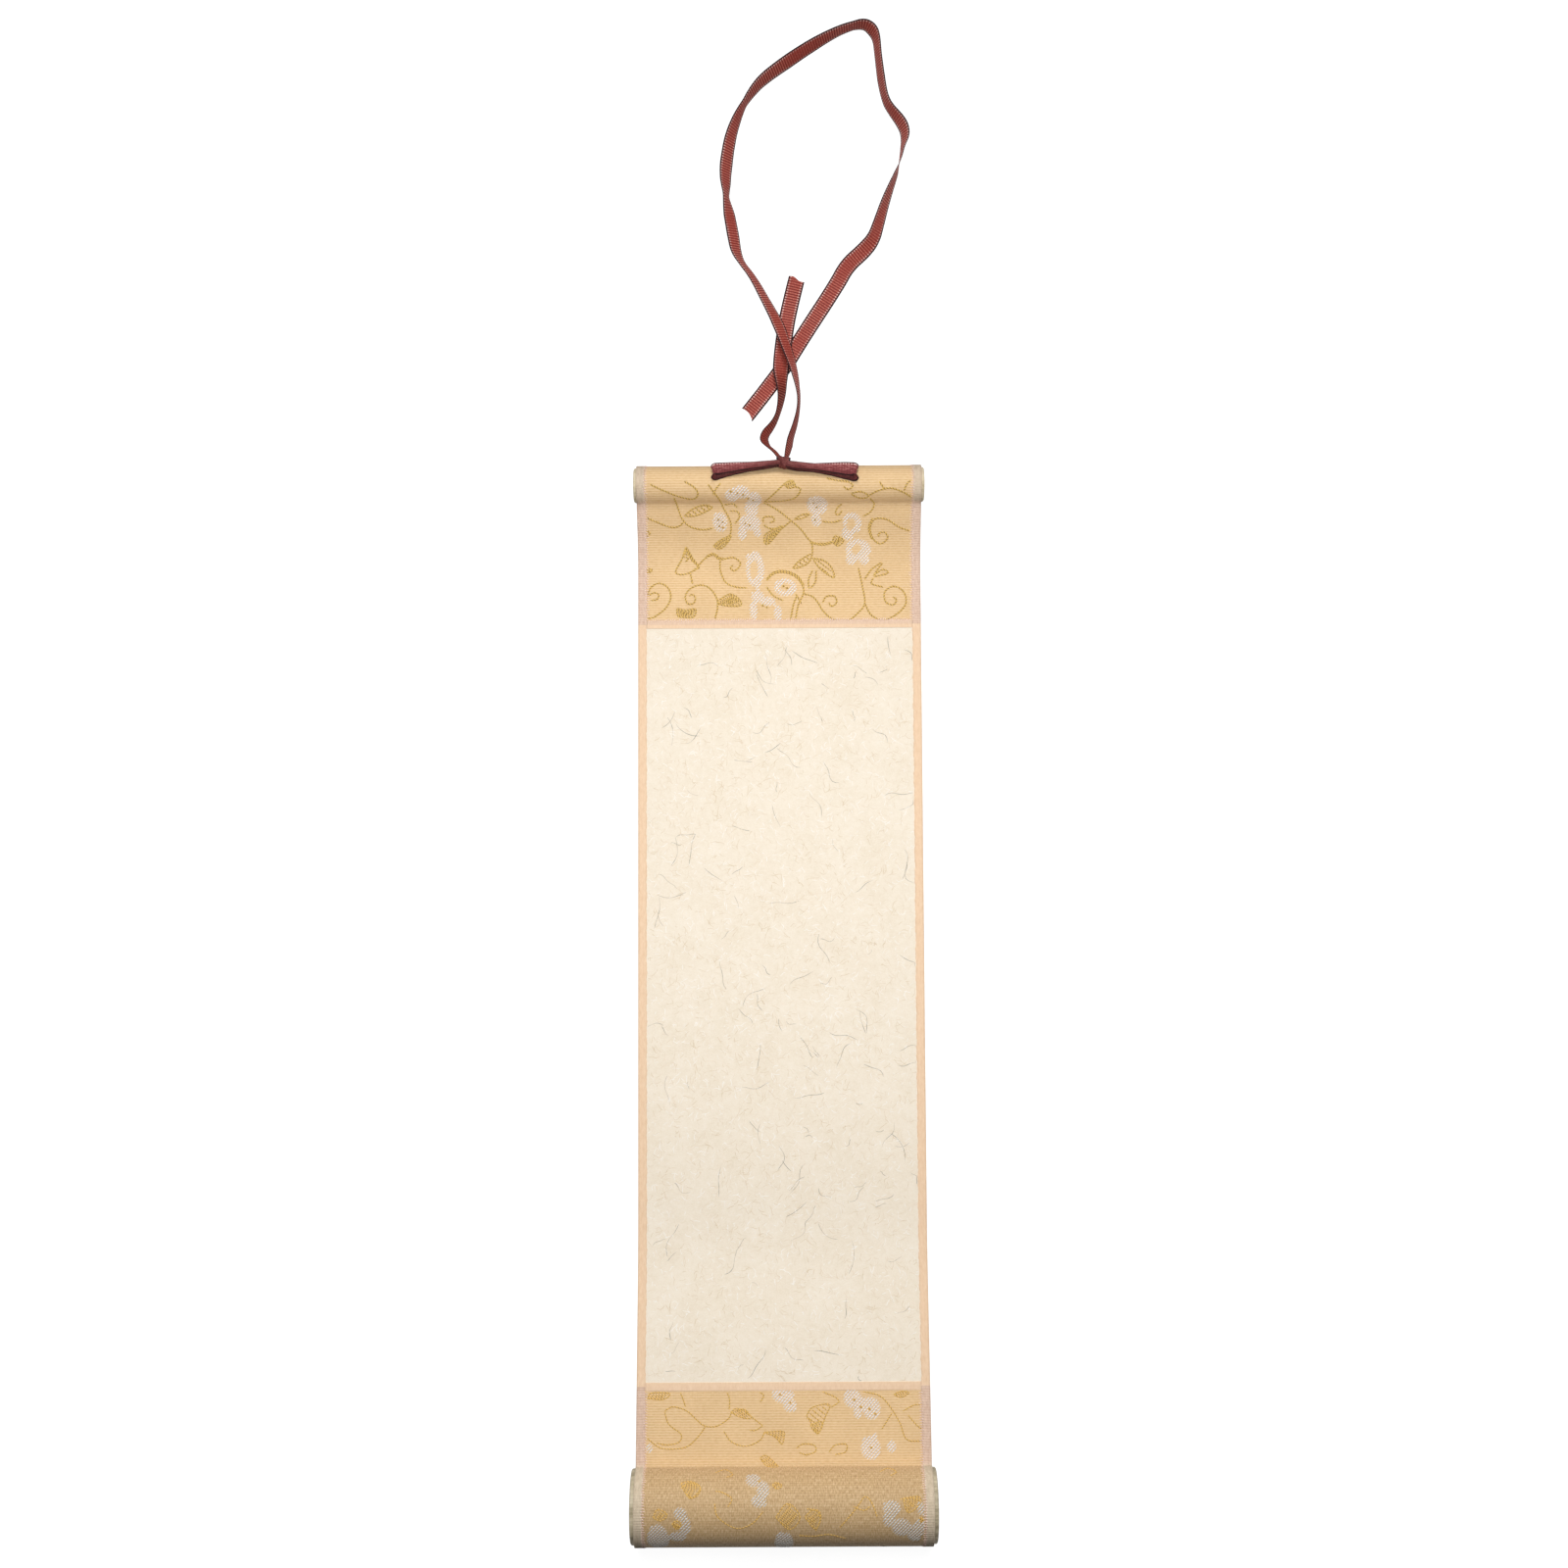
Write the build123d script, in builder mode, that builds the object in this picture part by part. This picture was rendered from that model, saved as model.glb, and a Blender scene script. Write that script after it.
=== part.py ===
"""Small hanging scroll, unrolled and lying face up on a table.

The sheet is pasted up in layers: a backing, two brocade panels with the writing paper between them,
and narrow tapes over the edges and joints. Both ends are wrapped round a rod, and a ribbon is tied in
a bow on the top rod. X runs across the sheet, Y runs along it to the top rod, Z is up from the table.
"""

import os
from math import cos, radians, sin, tan

from build123d import *

# Sheet and its layers
sheet_width = 80.0
overall_length = 296.0
backing_thickness = 0.2
panel_thickness = 0.3
tape_thickness = 0.1
edge_tape_width = 2.4
seam_tape_width = 2.2

# Joints between the panels, measured along the table from each rod's axis
upper_seam_reach = 38.8
lower_seam_reach = 30.8

# Rods
top_rod_diameter = 9.7
bottom_rod_diameter = 19.7
top_rod_overhang = 0.8
bottom_rod_overhang = 1.1
rod_edge_round = 0.5
wrap_clearance = 0.05

# How the sheet leaves each rod: turn round the rod, place of the crease from the crown, slope after it
crease_radius = 1.0
top_wrap_turn = 330.0
top_crease_angle = 75.0
top_slope = 24.0
top_sweep_radius = 30.0
bottom_wrap_turn = 340.0
bottom_crease_angle = 88.0
bottom_slope = 10.0
bottom_sweep_radius = 120.0

# Ribbon and its bow
ribbon_width = 4.4
ribbon_thickness = 0.3
tail_diameter = 1.3
bow_seat_gap = 0.05
bow_tilt = 12.0
loop_reach = 20.5
loop_height = 1.5
loop_neck_width = 2.3
loop_end_shift = 1.6
knot_shift = 3.8
knot_width = 4.2
knot_depth = 3.6
knot_height = 2.9
knot_round = 0.7
tail_spacing = 1.5
tail_lead = 2.0

# Places that follow from the sizes: the pasted face lies on the backing, and each rod's wrap rests on the table
top_wrap = top_rod_diameter / 2 + wrap_clearance + backing_thickness
bottom_wrap = bottom_rod_diameter / 2 + wrap_clearance + backing_thickness
top_axis_height = top_wrap + panel_thickness + tape_thickness
bottom_axis_height = bottom_wrap + panel_thickness + tape_thickness
top_axis_y = overall_length / 2 - top_axis_height
bottom_axis_y = -overall_length / 2 + bottom_axis_height


def sine(angle):
    """Sine of an angle in degrees."""
    return sin(radians(angle))


def cosine(angle):
    """Cosine of an angle in degrees."""
    return cos(radians(angle))


# Reach of each crease from its rod's axis, and the straight runs that bring the sheet down to the table
top_crease_reach = top_wrap * sine(top_crease_angle)
top_crease_reach += crease_radius * (sine(top_crease_angle) - sine(top_slope))
top_crease_drop = crease_radius * (cosine(top_slope) - cosine(top_crease_angle))
top_crease_z = top_axis_height + top_wrap * cosine(top_crease_angle) - top_crease_drop
top_sweep_rise = top_sweep_radius * (1 - cosine(top_slope))
top_slope_run = (top_crease_z - backing_thickness - top_sweep_rise) / sine(top_slope)

bottom_crease_reach = bottom_wrap * sine(bottom_crease_angle)
bottom_crease_reach += crease_radius * (sine(bottom_crease_angle) - sine(bottom_slope))
bottom_crease_drop = crease_radius * (cosine(bottom_slope) - cosine(bottom_crease_angle))
bottom_crease_z = bottom_axis_height + bottom_wrap * cosine(bottom_crease_angle) - bottom_crease_drop
bottom_sweep_rise = bottom_sweep_radius * (1 - cosine(bottom_slope))
bottom_slope_run = (bottom_crease_z - backing_thickness - bottom_sweep_rise) / sine(bottom_slope)

# Flat stretch between the two sweeps, divided at the upper seam
flat_start_y = bottom_axis_y + bottom_crease_reach
flat_start_y += bottom_slope_run * cosine(bottom_slope) + bottom_sweep_radius * sine(bottom_slope)
flat_end_y = top_axis_y - top_crease_reach
flat_end_y -= top_slope_run * cosine(top_slope) + top_sweep_radius * sine(top_slope)
upper_seam_y = top_axis_y - upper_seam_reach

# Run of the lower panel from its crease to the lower seam, along the slope
lower_panel_run = (lower_seam_reach - bottom_crease_reach) / cosine(bottom_slope)

# Steps of the sheet from the bottom rod to the top rod: a straight length, or a radius and its turn in degrees
seam_half = seam_tape_width / 2
sheet_steps = [
    (bottom_wrap, -bottom_wrap_turn),
    (crease_radius, bottom_crease_angle - bottom_slope),
    (lower_panel_run - seam_half, 0),
    (seam_half, 0),
    (seam_half, 0),
    (bottom_slope_run - lower_panel_run - seam_half, 0),
    (bottom_sweep_radius, bottom_slope),
    (upper_seam_y - flat_start_y - seam_half, 0),
    (seam_half, 0),
    (seam_half, 0),
    (flat_end_y - upper_seam_y - seam_half, 0),
    (top_sweep_radius, top_slope),
    (top_slope_run, 0),
    (crease_radius, top_crease_angle - top_slope),
    (top_wrap, -top_wrap_turn),
]


def ahead(heading):
    """Unit step along a heading in degrees."""
    return Vector(cosine(heading), sine(heading))


def faceward(heading):
    """Unit step from the sheet toward its face side, square to the heading."""
    return Vector(-sine(heading), cosine(heading))


def step_starts():
    """Place and heading at the start of every step, and at the end of the last one."""
    heading = bottom_wrap_turn - bottom_crease_angle
    place = Vector(bottom_axis_y, bottom_axis_height) + faceward(heading) * bottom_wrap
    starts = [(place, heading)]
    for size, turn in sheet_steps:
        if turn == 0:
            place = place + ahead(heading) * size
        else:
            side = size if turn > 0 else -size
            place = place + faceward(heading) * side - faceward(heading + turn) * side
        heading = heading + turn
        starts.append((place, heading))
    return starts


sheet_starts = step_starts()


def layer_face(first, last, height):
    """Draw one face of a layer over the steps first to last, each from the end of the one before it.

    The height is taken above the pasted face. Gives the two ends of the face.
    """
    place, heading = sheet_starts[first]
    begin = end = place + faceward(heading) * height
    for index in range(first, last + 1):
        size, turn = sheet_steps[index]
        heading = sheet_starts[index][1]
        if turn == 0:
            step = Line(end, end + ahead(heading) * size)
        elif turn > 0:
            step = JernArc(end, ahead(heading), size - height, turn)
        else:
            step = JernArc(end, ahead(heading), size + height, turn)
        end = step @ 1
    return begin, end


def layer_outline(first, last, low, high):
    """Draw the closed side view of a layer over the steps first to last, between two heights."""
    low_ends = layer_face(first, last, low)
    high_ends = layer_face(first, last, high)
    for low_end, high_end in zip(low_ends, high_ends):
        Line(low_end, high_end)


last_step = len(sheet_steps) - 1
panel_top = panel_thickness
tape_top = panel_thickness + tape_thickness
between_tapes = sheet_width - 2 * edge_tape_width

# Backing: plain paper behind everything, from wrap to wrap
with BuildPart() as backing_sheet:
    with BuildSketch(Plane.YZ):
        with BuildLine():
            layer_outline(0, last_step, -backing_thickness, 0)
        make_face()
    extrude(amount=sheet_width / 2, both=True)

# Lower brocade: round the bottom rod and up to the lower seam
with BuildPart() as lower_brocade:
    with BuildSketch(Plane.YZ):
        with BuildLine():
            layer_outline(0, 3, 0, panel_top)
        make_face()
    extrude(amount=sheet_width / 2, both=True)

# Writing paper: from seam to seam, butted against both brocade panels
with BuildPart() as writing_paper:
    with BuildSketch(Plane.YZ):
        with BuildLine():
            layer_outline(4, 8, 0, panel_top)
        make_face()
    extrude(amount=sheet_width / 2, both=True)

# Upper brocade: from the upper seam round the top rod
with BuildPart() as upper_brocade:
    with BuildSketch(Plane.YZ):
        with BuildLine():
            layer_outline(9, last_step, 0, panel_top)
        make_face()
    extrude(amount=sheet_width / 2, both=True)

# Edge tapes: pasted over the panels along both long edges
with BuildPart() as right_edge_tape:
    with BuildSketch(Plane.YZ.offset(between_tapes / 2)):
        with BuildLine():
            layer_outline(0, last_step, panel_top, tape_top)
        make_face()
    extrude(amount=edge_tape_width)

with BuildPart() as left_edge_tape:
    with BuildSketch(Plane.YZ.offset(-sheet_width / 2)):
        with BuildLine():
            layer_outline(0, last_step, panel_top, tape_top)
        make_face()
    extrude(amount=edge_tape_width)

# Seam tapes: over the joints of paper and brocade, between the edge tapes
with BuildPart() as lower_seam_tape:
    with BuildSketch(Plane.YZ):
        with BuildLine():
            layer_outline(3, 4, panel_top, tape_top)
        make_face()
    extrude(amount=between_tapes / 2, both=True)

with BuildPart() as upper_seam_tape:
    with BuildSketch(Plane.YZ):
        with BuildLine():
            layer_outline(8, 9, panel_top, tape_top)
        make_face()
    extrude(amount=between_tapes / 2, both=True)

# Rods: plain round wood with eased ends that stand out beside the cloth
with BuildPart() as top_rod:
    with BuildSketch(Plane.YZ):
        with Locations((top_axis_y, top_axis_height)):
            Circle(top_rod_diameter / 2)
    extrude(amount=sheet_width / 2 + top_rod_overhang, both=True)
    fillet(top_rod.edges().filter_by(GeomType.CIRCLE), min(rod_edge_round, top_rod_diameter / 5))

with BuildPart() as bottom_rod:
    with BuildSketch(Plane.YZ):
        with Locations((bottom_axis_y, bottom_axis_height)):
            Circle(bottom_rod_diameter / 2)
    extrude(amount=sheet_width / 2 + bottom_rod_overhang, both=True)
    fillet(bottom_rod.edges().filter_by(GeomType.CIRCLE), min(rod_edge_round, bottom_rod_diameter / 5))

# Bow: lies on the cloth a little behind the crown of the top rod
bow_radius = top_wrap + panel_thickness + bow_seat_gap
bow_back = (0, cosine(bow_tilt), -sine(bow_tilt))
bow_out = (0, sine(bow_tilt), cosine(bow_tilt))
bow_seat = Vector(0, top_axis_y, top_axis_height) + Vector(bow_out) * bow_radius
bow_plan = Plane(origin=bow_seat, x_dir=(1, 0, 0), z_dir=bow_out)
bow_side = Plane(origin=bow_seat, x_dir=(1, 0, 0), z_dir=-Vector(bow_back))
loop_round = (loop_height - ribbon_thickness) / 2
loop_straight = loop_reach - loop_height / 2

with BuildPart() as ribbon_bow:
    # Two flat loops in side view: each runs out from the knot, round its end and back
    with BuildSketch(bow_side):
        with BuildLine():
            Line((0, ribbon_thickness / 2), (loop_straight, ribbon_thickness / 2))
            JernArc((loop_straight, ribbon_thickness / 2), (1, 0), loop_round, 180)
            Line((loop_straight, loop_height - ribbon_thickness / 2), (0, loop_height - ribbon_thickness / 2))
            offset(amount=ribbon_thickness / 2, side=Side.BOTH)
        make_face()
        mirror(about=Plane.YZ)
    extrude(amount=2 * ribbon_width + knot_shift, both=True)
    # Plan of the loops: full width at the ends, gathered at the knot
    with BuildSketch(bow_plan):
        with BuildLine():
            Polyline(
                (0, knot_shift - loop_neck_width / 2),
                (loop_reach, loop_end_shift - ribbon_width / 2),
                (loop_reach, loop_end_shift + ribbon_width / 2),
                (0, knot_shift + loop_neck_width / 2),
                close=True,
            )
        make_face()
        mirror(about=Plane.YZ)
    extrude(amount=2 * loop_height, both=True, mode=Mode.INTERSECT)
    # Knot: the ribbon's crossing turns, drawn up tight
    with BuildSketch(bow_plan):
        with Locations((0, knot_shift)):
            RectangleRounded(knot_width, knot_depth, knot_round)
    extrude(amount=knot_height)
    knot_crown = ribbon_bow.faces().sort_by(Axis(bow_seat, bow_out))[-1]
    fillet(knot_crown.edges(), min(knot_round, (knot_height - loop_height) / 2))

# Tails: leave the back of the knot side by side, come down to the table and lie there
tail_exit = bow_seat + Vector(bow_back) * (knot_shift + knot_depth / 2)
tail_exit = tail_exit + Vector(bow_out) * (loop_height / 2)
short_tail_route = [
    tail_exit - Vector(tail_spacing / 2, 0, 0),
    tail_exit + Vector(bow_back) * tail_lead - Vector(tail_spacing / 2, 0, 0),
    Vector(-2.2, 152.9, 8.2),
    Vector(-5.2, 155.2, 5.2),
    Vector(-4.2, 159.4, 3.0),
    Vector(-0.4, 163.8, 2.2),
    Vector(1.6, 169.6, 2.0),
    Vector(0.4, 178.1, 2.1),
    Vector(1.6, 186.3, 2.1),
    Vector(3.8, 195.0, 1.1),
    Vector(5.6, 203.3, 0.7),
]
long_tail_route = [
    tail_exit + Vector(tail_spacing / 2, 0, 0),
    tail_exit + Vector(bow_back) * (2 * tail_lead) + Vector(tail_spacing / 2, 0, 0),
    Vector(4.4, 160.0, 5.6),
    Vector(7.0, 168.2, 3.9),
    Vector(4.6, 177.0, 3.6),
    Vector(0.2, 189.3, 3.6),
    Vector(-6.9, 202.2, 1.4),
    Vector(-12.3, 214.8, 0.7),
    Vector(-16.4, 234.7, 0.7),
    Vector(-11.2, 253.4, 0.7),
    Vector(3.2, 268.6, 0.7),
    Vector(17.2, 278.4, 0.7),
    Vector(27.0, 281.3, 0.7),
    Vector(29.8, 273.6, 0.7),
    Vector(29.3, 263.1, 0.7),
    Vector(31.7, 252.9, 0.7),
    Vector(37.4, 245.6, 0.7),
    Vector(34.2, 232.5, 0.7),
    Vector(28.4, 214.9, 0.7),
    Vector(19.2, 206.0, 0.7),
    Vector(11.1, 192.7, 0.7),
    Vector(1.5, 176.7, 0.7),
    Vector(-8.8, 163.8, 0.7),
]


def bend_radii(route):
    """Largest even bend at each inner point: 0.45 of the shorter run over the tangent of half the turn."""
    radii = []
    for before, here, after in zip(route, route[1:], route[2:]):
        turn = (here - before).get_angle(after - here)
        shorter = min((here - before).length, (after - here).length)
        radii.append(0.45 * shorter / tan(radians(turn) / 2))
    return radii


with BuildPart() as ribbon_short_tail:
    with BuildLine() as short_path:
        FilletPolyline(*short_tail_route, radius=bend_radii(short_tail_route))
    with BuildSketch(Plane(origin=short_path.line @ 0, z_dir=short_path.line % 0)):
        Circle(tail_diameter / 2)
    sweep(path=short_path.wires()[0])

with BuildPart() as ribbon_long_tail:
    with BuildLine() as long_path:
        FilletPolyline(*long_tail_route, radius=bend_radii(long_tail_route))
    with BuildSketch(Plane(origin=long_path.line @ 0, z_dir=long_path.line % 0)):
        Circle(tail_diameter / 2)
    sweep(path=long_path.wires()[0])

for name, route in (("short tail", short_tail_route), ("long tail", long_tail_route)):
    print(name, "radii", [round(radius, 1) for radius in bend_radii(route)])

backing_sheet.part.label = "backing_sheet"
lower_brocade.part.label = "lower_brocade"
writing_paper.part.label = "writing_paper"
upper_brocade.part.label = "upper_brocade"
right_edge_tape.part.label = "right_edge_tape"
left_edge_tape.part.label = "left_edge_tape"
lower_seam_tape.part.label = "lower_seam_tape"
upper_seam_tape.part.label = "upper_seam_tape"
top_rod.part.label = "top_rod"
bottom_rod.part.label = "bottom_rod"
ribbon_bow.part.label = "ribbon_bow"
ribbon_short_tail.part.label = "ribbon_short_tail"
ribbon_long_tail.part.label = "ribbon_long_tail"

os.makedirs("parts", exist_ok=True)
export_step(backing_sheet.part, "parts/backing_sheet.step")
export_step(lower_brocade.part, "parts/lower_brocade.step")
export_step(writing_paper.part, "parts/writing_paper.step")
export_step(upper_brocade.part, "parts/upper_brocade.step")
export_step(right_edge_tape.part, "parts/right_edge_tape.step")
export_step(left_edge_tape.part, "parts/left_edge_tape.step")
export_step(lower_seam_tape.part, "parts/lower_seam_tape.step")
export_step(upper_seam_tape.part, "parts/upper_seam_tape.step")
export_step(top_rod.part, "parts/top_rod.step")
export_step(bottom_rod.part, "parts/bottom_rod.step")
export_step(ribbon_bow.part, "parts/ribbon_bow.step")
export_step(ribbon_short_tail.part, "parts/ribbon_short_tail.step")
export_step(ribbon_long_tail.part, "parts/ribbon_long_tail.step")
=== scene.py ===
"""Looks of the small hanging scroll: cloth, paper, tapes, rods and ribbon tie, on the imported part's frame."""

from math import cos, pi, radians, sin

import bpy
import numpy as np
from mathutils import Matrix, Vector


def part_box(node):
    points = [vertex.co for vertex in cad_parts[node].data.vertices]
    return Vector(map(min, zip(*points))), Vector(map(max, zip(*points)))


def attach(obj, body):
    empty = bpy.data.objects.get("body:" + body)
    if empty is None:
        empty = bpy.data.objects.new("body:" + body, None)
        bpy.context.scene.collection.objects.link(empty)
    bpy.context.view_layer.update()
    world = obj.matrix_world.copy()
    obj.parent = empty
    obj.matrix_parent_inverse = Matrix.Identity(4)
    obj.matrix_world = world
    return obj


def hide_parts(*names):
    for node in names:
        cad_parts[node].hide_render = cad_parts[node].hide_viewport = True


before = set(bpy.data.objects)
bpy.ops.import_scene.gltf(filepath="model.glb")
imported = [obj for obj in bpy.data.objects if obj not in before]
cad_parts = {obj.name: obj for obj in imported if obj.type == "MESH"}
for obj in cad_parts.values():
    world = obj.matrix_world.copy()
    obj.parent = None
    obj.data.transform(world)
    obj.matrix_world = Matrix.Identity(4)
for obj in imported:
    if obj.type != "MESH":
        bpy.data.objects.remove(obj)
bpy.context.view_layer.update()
random_lay = np.random.default_rng(11)
MM = 0.001

# Camera, in millimetres and degrees: above the scroll, leaning a little toward the top rod
eye_x, eye_y, eye_z = 0.8, 15.95, 578.0
eye_lean = 4.2
eye_roll = -0.3
eye_reach = 2100.0
frame_half = 800.0


# Sheet: the same steps as the part's own sheet, read from the rods' places


def box_mm(node):
    """Lowest and highest corner of a node, in millimetres."""
    low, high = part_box(node)
    return np.array(low) / MM, np.array(high) / MM


backing_thickness, panel_thickness, tape_thickness = 0.2, 0.3, 0.1
edge_tape_width, seam_tape_width = 2.4, 2.2
upper_seam_reach, lower_seam_reach = 38.8, 30.8
wrap_clearance, crease_radius = 0.05, 1.0
top_wrap_turn, top_crease_angle, top_slope, top_sweep = 330.0, 75.0, 24.0, 30.0
bottom_wrap_turn, bottom_crease_angle, bottom_slope, bottom_sweep = 340.0, 88.0, 10.0, 120.0
sheet_half = box_mm("backing_sheet")[1][0]
panel_top = panel_thickness
tape_top = panel_thickness + tape_thickness
tape_inner = sheet_half - edge_tape_width

top_low, top_high = box_mm("top_rod")
bottom_low, bottom_high = box_mm("bottom_rod")
top_axis = (top_low + top_high)[1:] / 2
bottom_axis = (bottom_low + bottom_high)[1:] / 2
top_wrap = (top_high - top_low)[2] / 2 + wrap_clearance + backing_thickness
bottom_wrap = (bottom_high - bottom_low)[2] / 2 + wrap_clearance + backing_thickness


def leave_rod(axis, wrap, crease, slope, sweep):
    """Reach of a crease from its rod, and the straight run that brings the sheet down to its sweep."""
    crease, slope = radians(crease), radians(slope)
    reach = wrap * sin(crease) + crease_radius * (sin(crease) - sin(slope))
    height = axis[1] + wrap * cos(crease) - crease_radius * (cos(slope) - cos(crease))
    run = (height - backing_thickness - sweep * (1 - cos(slope))) / sin(slope)
    return reach, run, reach + run * cos(slope) + sweep * sin(slope)


bottom_reach, bottom_run, bottom_flat = leave_rod(
    bottom_axis, bottom_wrap, bottom_crease_angle, bottom_slope, bottom_sweep
)
top_run, top_flat = leave_rod(top_axis, top_wrap, top_crease_angle, top_slope, top_sweep)[1:]
lower_panel_run = (lower_seam_reach - bottom_reach) / cos(radians(bottom_slope))
flat_start = bottom_axis[0] + bottom_flat
flat_end = top_axis[0] - top_flat
upper_seam_y = top_axis[0] - upper_seam_reach

sheet_steps = [
    (bottom_wrap, -bottom_wrap_turn),
    (crease_radius, bottom_crease_angle - bottom_slope),
    (lower_panel_run, 0),
    (bottom_run - lower_panel_run, 0),
    (bottom_sweep, bottom_slope),
    (upper_seam_y - flat_start, 0),
    (flat_end - upper_seam_y, 0),
    (top_sweep, top_slope),
    (top_run, 0),
    (crease_radius, top_crease_angle - top_slope),
    (top_wrap, -top_wrap_turn),
]


def lay_steps():
    """Distance, place, heading and bend at the start of every step, chained from the bottom rod's wrap."""
    head = radians(bottom_wrap_turn - bottom_crease_angle)
    place = bottom_axis + bottom_wrap * np.array([-sin(head), cos(head)])
    far, rows = 0.0, []
    for size, turn in sheet_steps:
        turn = radians(turn)
        bend = 0.0 if turn == 0 else np.sign(turn) / size
        rows.append((far, place[0], place[1], head, bend))
        if turn == 0:
            place = place + size * np.array([cos(head), sin(head)])
            far += size
        else:
            place = place + np.array([sin(head + turn) - sin(head), cos(head) - cos(head + turn)]) / bend
            far += size * abs(turn)
        head += turn
    return np.array(rows).T, far


(step_s, step_y, step_z, step_head, step_bend), sheet_length = lay_steps()
lower_crease_s, lower_seam_s = step_s[1], step_s[3]
upper_seam_s, upper_crease_s = step_s[6], step_s[10]
seam_half = seam_tape_width / 2


def on_sheet(x, s, out):
    """Place on the sheet: s along its pasted face by straight and arc steps, x across, out square to it."""
    i = np.clip(np.searchsorted(step_s, s, side="right") - 1, 0, len(step_s) - 1)
    run, bend, start = s - step_s[i], step_bend[i], step_head[i]
    head = start + bend * run
    straight = bend == 0
    divisor = np.where(straight, 1.0, bend)
    y = step_y[i] + np.where(straight, run * np.cos(start), (np.sin(head) - np.sin(start)) / divisor)
    z = step_z[i] + np.where(straight, run * np.sin(start), (np.cos(start) - np.cos(head)) / divisor)
    return np.stack(np.broadcast_arrays(x, y - out * np.sin(head), z + out * np.cos(head)), -1)


def unshaded_share(s):
    """Share of the cloth's colour kept free of painted shade: 0 rolled up on the bottom rod, where the cloth is
    painted darker, 1 beyond it.
    """
    return np.interp(s, [lower_crease_s - 0.3, lower_crease_s + 2.0], [0.0, 1.0])


# Making pieces


def make_piece(name, points, faces, finish, uv=None, marks=None, stands_for=()):
    """A piece at the origin from points in millimetres, with its map, marks and finish; the parts it stands for
    are hidden.
    """
    mesh = bpy.data.meshes.new(name)
    mesh.from_pydata((points.reshape(-1, 3) * MM).tolist(), [], [tuple(face) for face in faces.tolist()])
    mesh.polygons.foreach_set("use_smooth", np.ones(len(mesh.polygons), bool))
    if uv is not None:
        corners = np.empty(len(mesh.loops), np.int32)
        mesh.loops.foreach_get("vertex_index", corners)
        layer = mesh.uv_layers.new(name="lay")
        layer.data.foreach_set("uv", uv.reshape(-1, 2)[corners].astype(np.float32).ravel())
    for mark, values in (marks or {}).items():
        held = mesh.attributes.new(mark, "FLOAT", "POINT")
        held.data.foreach_set("value", np.asarray(values, np.float32).ravel())
    mesh.materials.append(finish)
    mesh.update()
    piece = bpy.data.objects.new(name, mesh)
    bpy.context.scene.collection.objects.link(piece)
    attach(piece, "root")
    if stands_for:
        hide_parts(*stands_for)
    return piece


def grid_faces(rows, columns, round_columns=False, turned=False, start=0):
    """Four-sided faces of a grid of points; round_columns closes each row into a ring."""
    across = columns if round_columns else columns - 1
    i, j = np.meshgrid(np.arange(rows - 1), np.arange(across), indexing="ij")
    k = (j + 1) % columns
    faces = np.stack([i * columns + j, i * columns + k, (i + 1) * columns + k, (i + 1) * columns + j], -1)
    faces = faces.reshape(-1, 4) + start
    return faces[:, ::-1] if turned else faces


def strip_caps(rows, half_columns, start=0):
    """Faces that close the two ends of a flat ring-shaped grid."""
    width = 2 * half_columns
    j = np.arange(half_columns - 1)
    first = np.stack([j, width - 1 - j, width - 2 - j, j + 1], -1)
    last = first[:, ::-1] + (rows - 1) * width
    return np.concatenate([first, last]) + start


def pasted_strip(name, x, s, low, high, finish, stands_for, marks):
    """Closed strip of cloth or paper over the grid x by s: its face at height high, its back at low."""
    x = np.broadcast_to(x, (len(s), np.shape(x)[-1]))
    along = np.broadcast_to(s[:, None], x.shape)
    face = on_sheet(x, along, np.broadcast_to(high, x.shape))
    back = on_sheet(x[:, ::-1], along, np.full(x.shape, low))
    points = np.concatenate([face, back], 1)
    uv = np.stack([np.concatenate([x, x[:, ::-1]], 1), np.concatenate([along, along], 1)], -1)
    count = x.shape[1]
    faces = np.concatenate([grid_faces(len(s), 2 * count, True), strip_caps(len(s), count)])
    spread = {mark: np.repeat(values, 2 * count) for mark, values in marks.items()}
    return make_piece(name, points, faces, finish, uv, spread, stands_for)


def way_along(line):
    """Distance along a line of points, from its first one."""
    return np.r_[0, np.cumsum(np.linalg.norm(np.diff(line, axis=0), axis=1))]


def read_along(at, far, values):
    """Rows of values that are given at the distances far, read at the distances at."""
    return np.stack([np.interp(at, far, values[:, k]) for k in range(values.shape[1])], -1)


def unit(vectors):
    """The same directions, each of length one."""
    return vectors / np.linalg.norm(vectors, axis=-1, keepdims=True)


def smooth_line(points, spacing):
    """Even points along a smooth line through the given ones: each run a cubic on its neighbours' slopes."""
    p = np.array(points, float)
    p = np.vstack([2 * p[0] - p[1], p, 2 * p[-1] - p[-2]])
    a, b, c, d = p[:-3, None], p[1:-2, None], p[2:-1, None], p[3:, None]
    t = np.linspace(0, 1, 12, endpoint=False)[None, :, None]
    dense = b + 0.5 * t * (c - a + t * (2 * a - 5 * b + 4 * c - d + t * (3 * b - a - 3 * c + d)))
    dense = np.vstack([dense.reshape(-1, p.shape[1]), p[-2]])
    far = way_along(dense)
    return read_along(np.linspace(0, far[-1], max(3, int(far[-1] / spacing) + 1)), far, dense)


thread_turn = 0.85
round_arch = np.array([-1, -0.62, 0, 0.62, 1]), np.array([0, 0.75, 1, 0.75, 0])
plain_arch = np.array([-1, 0, 1]), np.array([0, 1, 0])


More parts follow.
